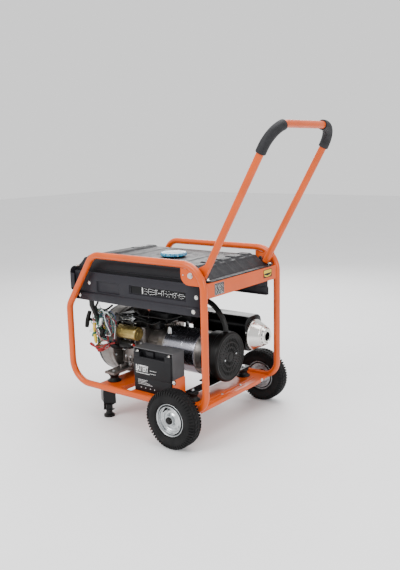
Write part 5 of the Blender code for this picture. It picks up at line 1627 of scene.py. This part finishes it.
# ---- Battery ----
def text_piece(name, words, left, top, size, squeeze, y):
    """Raised lettering that faces -Y."""
    curve = bpy.data.curves.new(name, "FONT")
    curve.body = words
    curve.size = size
    curve.extrude = 0.0001
    curve.offset = size * 0.018
    holder = bpy.data.objects.new(name, curve)
    bpy.context.scene.collection.objects.link(holder)
    mesh = bpy.data.meshes.new_from_object(holder.evaluated_get(bpy.context.evaluated_depsgraph_get()))
    bpy.data.objects.remove(holder)
    bpy.data.curves.remove(curve)
    bm = bmesh.new()
    bm.from_mesh(mesh)
    bpy.data.meshes.remove(mesh)
    for vert in bm.verts:
        vert.co = at(left + vert.co.x * squeeze, y - vert.co.z, top - size * 0.73 + vert.co.y)
    return finish_mesh(name, bm, "label_white")


def make_battery():
    low, high = local_box("battery")
    shelf = low.z + 0.131
    middle = low.z + 0.056
    back = low.y + 0.021
    parts = [
        rounded_box(
            "lower", (low.x + 0.0008, low.y + 0.0008, low.z), (high.x - 0.0008, high.y, middle - 0.0006),
            "battery_plastic", 0.0025
        ), rounded_box("upper", (low.x, low.y, middle), (high.x, high.y, shelf), "battery_plastic", 0.0025),
        rounded_box(
            "waist", (low.x + 0.0016, low.y + 0.0016, middle - 0.002),
            (high.x - 0.0016, high.y - 0.001, middle + 0.002), "gloss_black", 0.0005
        ),
        rounded_box(
            "lid", (low.x + 0.0015, back, shelf - 0.002),
            (high.x - 0.0015, high.y - 0.002, high.z - 0.0016), "battery_plastic", 0.0030
        ),
        rounded_box(
            "end", (low.x, low.y + 0.0005, shelf - 0.002), (low.x + 0.030, back + 0.002, high.z - 0.0125),
            "battery_plastic", 0.0025
        ),
        rounded_box(
            "end", (high.x - 0.030, low.y + 0.0005, shelf - 0.002), (high.x, back + 0.002, high.z - 0.0105),
            "battery_plastic", 0.0025
        ),
        rounded_box(
            "lip", (low.x + 0.028, low.y + 0.0005, shelf - 0.002),
            (high.x - 0.028, low.y + 0.0035, shelf + 0.004), "battery_plastic", 0.001
        ),
        rounded_box(
            "vent", (low.x + 0.052, back - 0.008, shelf - 0.001),
            (low.x + 0.088, back + 0.001, high.z - 0.008), "battery_plastic"
        ),
    ]
    for index in range(3):
        x = low.x + 0.036 + index * 0.033
        parts.append(
            rounded_box(
                "rib", (x, back + 0.010, high.z - 0.003), (x + 0.022, high.y - 0.012, high.z - 0.0004),
                "battery_plastic", 0.0012
            )
        )
    merge("battery_case", parts, "battery_plastic", replaces=["battery"], slot="black_plastic")
    rounded_box(
        "battery_lid_top", (low.x + 0.004, back + 0.0025, high.z - 0.0028),
        (high.x - 0.004, high.y - 0.005, high.z - 0.0012), "grey_plastic", 0.0008
    )
    posts = []
    for x, z in ((high.x - 0.014, high.z - 0.0105), (low.x + 0.014, high.z - 0.0125)):
        posts.append(
            rounded_box(
                "lug", (x - 0.007, low.y + 0.004, z - 0.0005), (x + 0.007, low.y + 0.018, z + 0.0018),
                "bright_steel", 0.0006
            )
        )
        posts.append(bolt("post", (x, low.y + 0.011, z + 0.0018), "Z", 0.0052, "bright_steel"))
    merge("battery_terminals", posts, "bright_steel")
    front = low.y - 0.0001
    words = [text_piece("battery_word", "BATTERY", low.x + 0.011, shelf - 0.027, 0.0340, 0.43, front)]
    rng = random.Random(11)
    lines = []

    def line(x, z, length, thick, y):
        lines.append(
            rounded_box(
                "line", (x, y - 0.0002, z - thick / 2), (x + length, y + 0.0005, z + thick / 2),
                "label_white", 0.0001, 1
            )
        )

    rows = ((0.080, 0.112, 0.2235, 0.0016), (0.012, 0.078, 0.2085, 0.0024), (0.080, 0.108, 0.2120, 0.0014),
            (0.020, 0.066, 0.1815, 0.0018), (0.020, 0.060, 0.1760, 0.0018), (0.020, 0.078, 0.1705, 0.0014),
            (0.020, 0.090, 0.1650, 0.0014))
    for left, right, z, thick in rows:
        x = left
        while x < right:
            length = min(rng.uniform(0.003, 0.009), right - x)
            line(low.x + x, z, length, thick, front if z > middle else front + 0.0009)
            x += length + 0.0010
    for x in (0.032, 0.054, 0.078, 0.098):
        line(low.x + x, 0.1520, 0.0035, 0.0034, front + 0.0009)
    merge("battery_print", words + lines, "label_white")


make_battery()


# ---- Air filter, cylinder shroud, controls and wiring ----
def make_engine_top():
    """Ducts, brackets and linkages round the carburettor and cylinder, under the tank."""
    low, high = local_box("air_filter")
    filter_parts = [
        rounded_box("base", (low.x, low.y, low.z), (high.x, high.y, low.z + 0.022), "black_plastic", 0.006),
        rounded_box(
            "cover", (low.x + 0.002, low.y + 0.002, low.z + 0.024),
            (high.x - 0.002, high.y - 0.002, high.z), "black_plastic", 0.012, 5
        ),
        rounded_box(
            "seam", (low.x + 0.003, low.y + 0.003, low.z + 0.018),
            (high.x - 0.003, high.y - 0.003, low.z + 0.028), "black_plastic", 0.002
        ),
    ]
    for index in range(5):
        x = low.x + 0.026 + index * (high.x - low.x - 0.052) / 4
        filter_parts.append(
            rounded_box(
                "rib", (x - 0.002, low.y + 0.012, high.z - 0.004),
                (x + 0.002, high.y - 0.012, high.z - 0.0002), "black_plastic", 0.0012
            )
        )
    merge("air_filter_case", filter_parts, "black_plastic", replaces=["air_filter"], slot="black_plastic")
    wing = [bolt("wing", ((low.x + high.x) / 2 + dx, high.y - 0.001, low.z + 0.012), "Y", 0.005)
            for dx in (-0.045, 0.045)]
    merge("air_filter_bolts", wing, "zinc_steel")
    crank_low, crank_high = local_box("crankcase")
    top = AXIS_Z + 0.090
    duct = [
        rounded_box(
            "duct", (crank_low.x + 0.006, -0.098, top - 0.004), (crank_low.x + 0.060, -0.030, top + 0.040),
            "black_paint", 0.010, 4
        ),
        rounded_box(
            "duct", (crank_low.x + 0.050, -0.090, top - 0.006), (crank_high.x - 0.012, -0.036, top + 0.030),
            "black_paint", 0.008, 4
        ),
        rounded_box(
            "coil", (crank_high.x - 0.030, -0.084, top - 0.004),
            (crank_high.x + 0.024, -0.050, top + 0.024), "black_plastic", 0.004
        ),
        rounded_box(
            "coil", (crank_high.x + 0.030, -0.070, top - 0.010),
            (crank_high.x + 0.070, -0.034, top + 0.016), "black_plastic", 0.004
        ),
    ]
    duct.append(
        rounded_box(
            "shield", (crank_high.x - 0.010, 0.050, top - 0.004), (0.046, 0.150, top + 0.062),
            "black_paint", 0.008, 4
        )
    )
    duct.append(
        rounded_box(
            "shield", (crank_high.x - 0.020, -0.030, top + 0.002), (-0.010, 0.052, top + 0.050),
            "black_paint", 0.008, 4
        )
    )
    merge("cylinder_shroud", duct, "black_paint")
    plates = [
        rounded_box(
            "arm", (crank_low.x + 0.030, -0.108, top + 0.006), (crank_low.x + 0.034, -0.060, top + 0.034),
            "zinc_steel", 0.001
        ),
        rounded_box(
            "arm", (crank_low.x + 0.030, -0.110, top + 0.028), (crank_low.x + 0.100, -0.100, top + 0.031),
            "zinc_steel", 0.001
        ),
        rounded_box(
            "arm", (crank_high.x - 0.044, -0.104, top - 0.002), (crank_high.x - 0.034, -0.100, top + 0.044),
            "zinc_steel", 0.001
        ),
        rounded_box(
            "arm", (crank_high.x - 0.070, -0.106, top + 0.008), (crank_high.x - 0.018, -0.103, top + 0.013),
            "zinc_steel", 0.001
        ),
    ]
    merge("governor_arms", plates, "zinc_steel")
    heads = [bolt("bolt", (crank_low.x + x, -0.1105, top + z), (0, -1, 0), 0.0042)
             for x, z in ((0.034, 0.0295), (0.094, 0.0295), (0.078, 0.010), (0.066, 0.038))]
    merge("governor_bolts", heads, "zinc_steel")
    spring = []
    for step in range(160):
        angle = step * 0.62
        spring.append(at(crank_low.x + 0.040 + step * 0.00026, -0.107 + 0.0024 * math.cos(angle),
                         top + 0.022 + 0.0024 * math.sin(angle)))
    sweep("governor_spring", spring, 0.0006, "bright_steel", sides=6)
    cables = (
        ((-0.215, -0.100, top + 0.030), (-0.190, -0.125, top + 0.046), (-0.150, -0.120, top + 0.036),
         (-0.115, -0.105, top + 0.040), (-0.070, -0.085, top + 0.026)),
        ((-0.200, -0.112, top + 0.006), (-0.160, -0.128, top + 0.022), (-0.120, -0.118, top + 0.012),
         (-0.085, -0.100, top + 0.022), (-0.040, -0.080, top + 0.010), (-0.005, -0.070, top + 0.024)),
        ((-0.130, -0.070, top + 0.050), (-0.080, -0.095, top + 0.044), (-0.030, -0.080, top + 0.040),
         (0.030, -0.060, top + 0.036), (0.080, -0.050, top + 0.052)),
    )
    for index, knots in enumerate(cables):
        sweep(
            f"control_cable_{index}", curve_points([at(*knot) for knot in knots]), 0.0034, "rubber",
            sides=14
        )
    for side in ("lifting_eye_near", "lifting_eye_far"):
        y = -0.062 if side.endswith("near") else 0.048
        eye = arc_corners(
            [
                ((0.020, top - 0.022), 0.004), ((0.040, top - 0.022), 0.004), ((0.038, top + 0.006), 0.008),
                ((0.022, top + 0.006), 0.008)
            ], steps=5
        )
        prism(side, eye, "Y", y, y + 0.003, "zinc_steel", 0.0008)


def make_wires():
    """Breather hose and the loose loom of thin coloured wires, connectors and battery leads."""
    hose = [
        at(x, -0.155, z) for x,
        z in ((-0.2565, 0.4391), (-0.2688, 0.4173), (-0.2453, 0.405), (-0.2065, 0.4173), (-0.178, 0.4357))
    ]
    sweep("breather_hose", curve_points(hose, 0.003), 0.0042, "rubber", sides=18)
    rng = random.Random(23)
    colours = ("green_plastic", "white_plastic", "black_plastic", "teal_wire", "blue_wire", "red_plastic",
               "pink_wire", "black_plastic", "yellow_plastic", "teal_wire")
    bundles = {}
    for index in range(44):
        colour = colours[index % len(colours)]
        x = rng.uniform(-0.250, -0.185)
        y = rng.uniform(-0.190, -0.150)
        z = rng.uniform(0.395, 0.425)
        knots = [at(x * 0.4 - 0.236 * 0.6, y * 0.3 - 0.182 * 0.7, z)]
        for _ in range(rng.randint(4, 6)):
            x = min(-0.168, max(-0.252, x + rng.uniform(-0.032, 0.034)))
            y = min(-0.150, max(-0.200, y + rng.uniform(-0.020, 0.020)))
            z = max(0.268, z + rng.uniform(-0.052, 0.004))
            knots.append(at(x, y, z))
        wire = sweep("wire", curve_points(knots, 0.004), rng.uniform(0.0009, 0.0015), colour, sides=8)
        bundles.setdefault(colour, []).append(wire)
    for colour, wires in bundles.items():
        merge(f"loom_{colour}", wires, colour)
    plugs = {"yellow_plastic": [], "white_plastic": [], "green_plastic": [], "black_plastic": []}
    for colour, x, y, z, turn in (
        ("yellow_plastic", -0.240, -0.196, 0.352, 8), ("yellow_plastic", -0.236, -0.198, 0.306, -6),
        ("white_plastic", -0.258, -0.188, 0.334, 62), ("white_plastic", -0.192, -0.188, 0.292, 75),
        ("green_plastic", -0.250, -0.186, 0.324, 40), ("white_plastic", -0.214, -0.186, 0.372, 20),
        ("black_plastic", -0.204, -0.190, 0.330, 30), ("black_plastic", -0.226, -0.176, 0.384, -15)
    ):
        plugs[colour].append(
            rounded_box(
                "plug", (x - 0.0050, y - 0.0050, z - 0.0150), (x + 0.0050, y + 0.0050, z + 0.0150), colour,
                0.0012, 2, ((x, y, z), "Y", turn)
            )
        )
        plugs[colour].append(
            rounded_box(
                "plug", (x - 0.0036, y - 0.0036, z - 0.0220), (x + 0.0036, y + 0.0036, z - 0.0140), colour,
                0.0010, 2, ((x, y, z), "Y", turn)
            )
        )
    for colour, pieces in plugs.items():
        merge(f"connectors_{colour}", pieces, colour)
    leads = (
        (
            (-0.262, -0.196, 0.2770), (-0.240, -0.198, 0.2700), (-0.215, -0.194, 0.2740),
            (-0.190, -0.184, 0.2820), (-0.160, -0.168, 0.2900)
        ),
        (
            (-0.216, -0.200, 0.2600), (-0.196, -0.196, 0.2720), (-0.180, -0.188, 0.2950),
            (-0.186, -0.180, 0.3200)
        ),
        (
            (-0.236, -0.192, 0.2640), (-0.214, -0.196, 0.2560), (-0.196, -0.190, 0.2640),
            (-0.176, -0.180, 0.2780)
        ),
    )
    red = []
    for knots in leads:
        red.append(
            sweep(
                "lead", curve_points([at(*knot) for knot in knots], 0.004), 0.0034, "red_plastic", sides=14
            )
        )
        first = Vector(knots[0])
        second = Vector(knots[1])
        along = (second - first).normalized()
        red.append(
            lathe(
                "boot",
                soft_profile([(0, 0), (0, 0.0058), (0.016, 0.0062), (0.022, 0.0038), (0.022, 0)], 0.0012),
                tuple(first - along * 0.006), tuple(along), "red_plastic", 20
            )
        )
    merge("battery_leads", red, "red_plastic")


def make_spark_plug_lead():
    low, high = local_box("valve_cover")
    y = high.y - 0.010
    z = low.z + 0.012
    lathe(
        "spark_plug_cap",
        soft_profile([(0, 0), (0, 0.0090), (0.030, 0.0085), (0.034, 0.0060), (0.034, 0)], 0.0015),
        ((low.x + high.x) / 2, y - 0.004, z - 0.014), (0, 0.7, -0.7), "rubber", 24
    )


make_engine_top()
make_wires()
make_spark_plug_lead()


# ---- Control panel on the far side ----
def make_controls():
    low, high = local_box("voltmeter")
    x = (low.x + high.x) / 2
    z = (low.z + high.z) / 2
    r = (high.z - low.z) / 2
    face = (x, high.y, z)
    lathe(
        "meter_face",
        soft_profile([(-0.001, 0), (-0.001, r * 0.80), (0.0002, r * 0.80), (0.0002, 0)], 0.0001), face, "Y",
        "label_white", 64
    )
    lathe(
        "meter_ring",
        soft_profile(
            [(-0.002, r * 0.80), (0.0010, r * 0.82), (0.0012, r * 0.94), (-0.002, r * 0.99)], 0.0005
        ), face, "Y", "gloss_black", 64
    )
    marks = []
    for index in range(21):
        angle = math.radians(30 + 120 * index / 20)
        long = 0.16 if index % 5 == 0 else 0.09
        marks.append(rounded_box("tick", (x - 0.0004, high.y + 0.0001, z + r * (0.70 - long)),
                                 (x + 0.0004, high.y + 0.0005, z + r * 0.70), "gloss_black", 0.0001, 1,
                                 ((x, high.y, z), "Y", 90 - math.degrees(angle))))
    marks.append(
        rounded_box(
            "needle", (x - 0.0005, high.y + 0.0003, z - r * 0.1),
            (x + 0.0005, high.y + 0.0007, z + r * 0.60), "gloss_black", 0.0001, 1,
            ((x, high.y, z), "Y", -48)
        )
    )
    merge("meter_marks", marks, "gloss_black")
    low, high = local_box("outlet")
    x = (low.x + high.x) / 2
    z = (low.z + high.z) / 2
    faces = []
    slots = []
    for dx in (-0.020, 0.020) if high.x - low.x > high.z - low.z else (0,):
        faces.append(
            lathe(
                "socket",
                soft_profile([(-0.0005, 0), (-0.0005, 0.0165), (0.0016, 0.0160), (0.0016, 0)], 0.0006),
                (x + dx, high.y, z), "Y", "black_plastic", 48
            )
        )
        for ox, oz, w, h in (
            (-0.0062, 0.003, 0.0020, 0.0080), (0.0062, 0.003, 0.0020, 0.0070), (0, -0.0078, 0.0045, 0.0045)
        ):
            slots.append(
                rounded_box(
                    "slot", (x + dx + ox - w / 2, high.y + 0.0013, z + oz - h / 2),
                    (x + dx + ox + w / 2, high.y + 0.0018, z + oz + h / 2), "label_grey", 0.0004, 1
                )
            )
    merge("outlet_faces", faces, "black_plastic")
    merge("outlet_slots", slots, "label_grey")
    ground = (0.070, -PANEL_LOW.y - 0.0005, PANEL_LOW.z + 0.016)
    post = [
        lathe(
            "post", soft_profile([(0, 0), (0, 0.0030), (0.004, 0.0030), (0.004, 0)], 0.0006), ground, "Y",
            "bright_steel", 20
        ), bolt("nut", ground, "Y", 0.0055, "bright_steel")
    ]
    merge("ground_terminal", post, "bright_steel")


def make_frame_fittings():
    """Pivot washers, gusset rivets, leg ribs and axle pins."""
    for side, sign in SIDES:
        low, high = local_box(f"pivot_bolt_{side}")
        x = (low.x + high.x) / 2
        z = (low.z + high.z) / 2
        gusset = local_box(f"gusset_{side}")
        face = gusset[0].y if sign < 0 else gusset[1].y
        pieces = [lathe("washer", soft_profile([(0, 0), (0, 0.0105), (0.0014, 0.0105), (0.0014, 0)], 0.0005),
                        (x, face, z), (0, sign, 0), "zinc_steel", 32)]
        merge(f"pivot_washer_{side}", pieces, "zinc_steel")
        merge(
            f"gusset_rivet_{side}",
            [bolt("rivet", (0.2450, face, 0.6070), (0, sign, 0), 0.0030, washer=False, hexagon=False)],
            "zinc_steel"
        )
        leg = local_box(f"leg_{side}")
        middle = (leg[0].x + leg[1].x) / 2
        face = leg[0].y if sign < 0 else leg[1].y
        rounded_box(
            f"leg_rib_{side}",
            (middle - 0.0025, face + (0.0002 if sign < 0 else -0.0100), leg[0].z + 0.006),
            (middle + 0.0025, face + (0.0100 if sign < 0 else -0.0002), leg[1].z - 0.012), "black_paint",
            0.0015
        )
        axle = local_box("axle")
        end = axle[0].y if sign < 0 else axle[1].y
        centre = Vector(joint(f"{side}_wheel_spin")["pos_m"]) - SHIFT
        pin = [
            lathe(
                "pin",
                soft_profile([(-0.0125, 0), (-0.0125, 0.0013), (0.0125, 0.0013), (0.0125, 0)], 0.0004),
                (centre.x, end - sign * 0.0035, centre.z), (1, 0, 0.5), "bright_steel", 10
            )
        ]
        merge(f"split_pin_{side}", pin, "bright_steel")


make_controls()
make_frame_fittings()

# ---- Finish of the CAD nodes that stay as they are ----
KEPT = {
    "gusset_near": ("orange_paint", 0.0008),
    "gusset_far": ("orange_paint", 0.0008),
    "handle_end_crossbar": ("orange_paint", 0.0007),
    "recoil_end_base_rail": ("orange_paint", 0.001),
    "axle": ("black_paint", 0.001),
    "leg_near": ("black_paint", 0.0008),
    "leg_far": ("black_paint", 0.0008),
    "foot_near": ("rubber", 0.001),
    "foot_far": ("rubber", 0.001),
    "pivot_bolt_near": ("zinc_steel", 0.0005),
    "pivot_bolt_far": ("zinc_steel", 0.0005),
    "crankcase": ("cast_aluminium", 0.002),
    "cylinder": ("cast_aluminium", 0.0005),
    "valve_cover": ("cast_aluminium", 0.001),
    "crankshaft": ("steel", 0.0005),
    "flywheel": ("cast_aluminium", 0.0005),
    "rotor": ("steel", 0.0005),
    "carburettor": ("cast_aluminium", 0.0008),
    "choke_lever": ("black_plastic", 0.0005),
    "fuel_tap": ("black_plastic", 0.0005),
    "battery_clamp": ("grey_plastic", 0.0006),
    "conduit": ("rubber", 0),
    "wiring_harness": ("rubber", 0),
    "voltmeter": ("black_plastic", 0.0005),
    "outlet": ("black_plastic", 0.0005),
    "breaker_lever": ("red_plastic", 0.0003),
    "ignition_key": ("zinc_steel", 0.0003),
}


def dress_nodes():
    for node, (mat, edge) in KEPT.items():
        obj = frame["nodes"][node]
        obj.data.materials.clear()
        obj.data.materials.append(MATERIALS[mat])
        if edge:
            bevelled(obj, edge, 2, 40)


dress_nodes()


# ---- Floor and light ----
FLOOR_SIZE = 12
FLOOR_DROP = 0.0005
SKY_STRENGTH = 1.15
LIGHTS = (
    ("key", (-0.6, -2.6, 2.3), (0, 0, 0.3), 1.4, 75),
    ("fill", (2.6, -0.6, 1.3), (0.1, 0, 0.4), 1.2, 22),
    ("top", (0.2, 0.6, 3.2), (0, 0, 0.3), 2.4, 90),
    ("back", (-1.5, 2.4, 1.8), (0, 0, 0.5), 1.6, 40),
)


def make_stage():
    mesh = bpy.data.meshes.new("floor")
    bm = bmesh.new()
    bmesh.ops.create_grid(bm, x_segments=1, y_segments=1, size=FLOOR_SIZE)
    bm.to_mesh(mesh)
    bm.free()
    floor = bpy.data.objects.new("floor", mesh)
    floor.location = (0, 0, -FLOOR_DROP)
    bpy.context.scene.collection.objects.link(floor)
    white = Nodes("floor_white", (0.86, 0.86, 0.865), 0.7)
    white.colour(white.noise(3, 3), [(0.3, (0.85, 0.85, 0.855)), (0.7, (0.87, 0.87, 0.875))])
    mesh.materials.append(white.material)
    world = bpy.data.worlds.new("studio")
    world.use_nodes = True
    world.node_tree.nodes["Background"].inputs["Color"].default_value = (1, 1, 1, 1)
    world.node_tree.nodes["Background"].inputs["Strength"].default_value = SKY_STRENGTH
    bpy.context.scene.world = world
    for light in LIGHTS:
        area_light(*light)


def area_light(name, place, target, size, power):
    data = bpy.data.lights.new(name, "AREA")
    data.size = size
    data.energy = power
    light = bpy.data.objects.new(name, data)
    light.location = place
    light.rotation_euler = (Vector(target) - Vector(place)).to_track_quat("-Z", "Y").to_euler()
    bpy.context.scene.collection.objects.link(light)


make_stage()
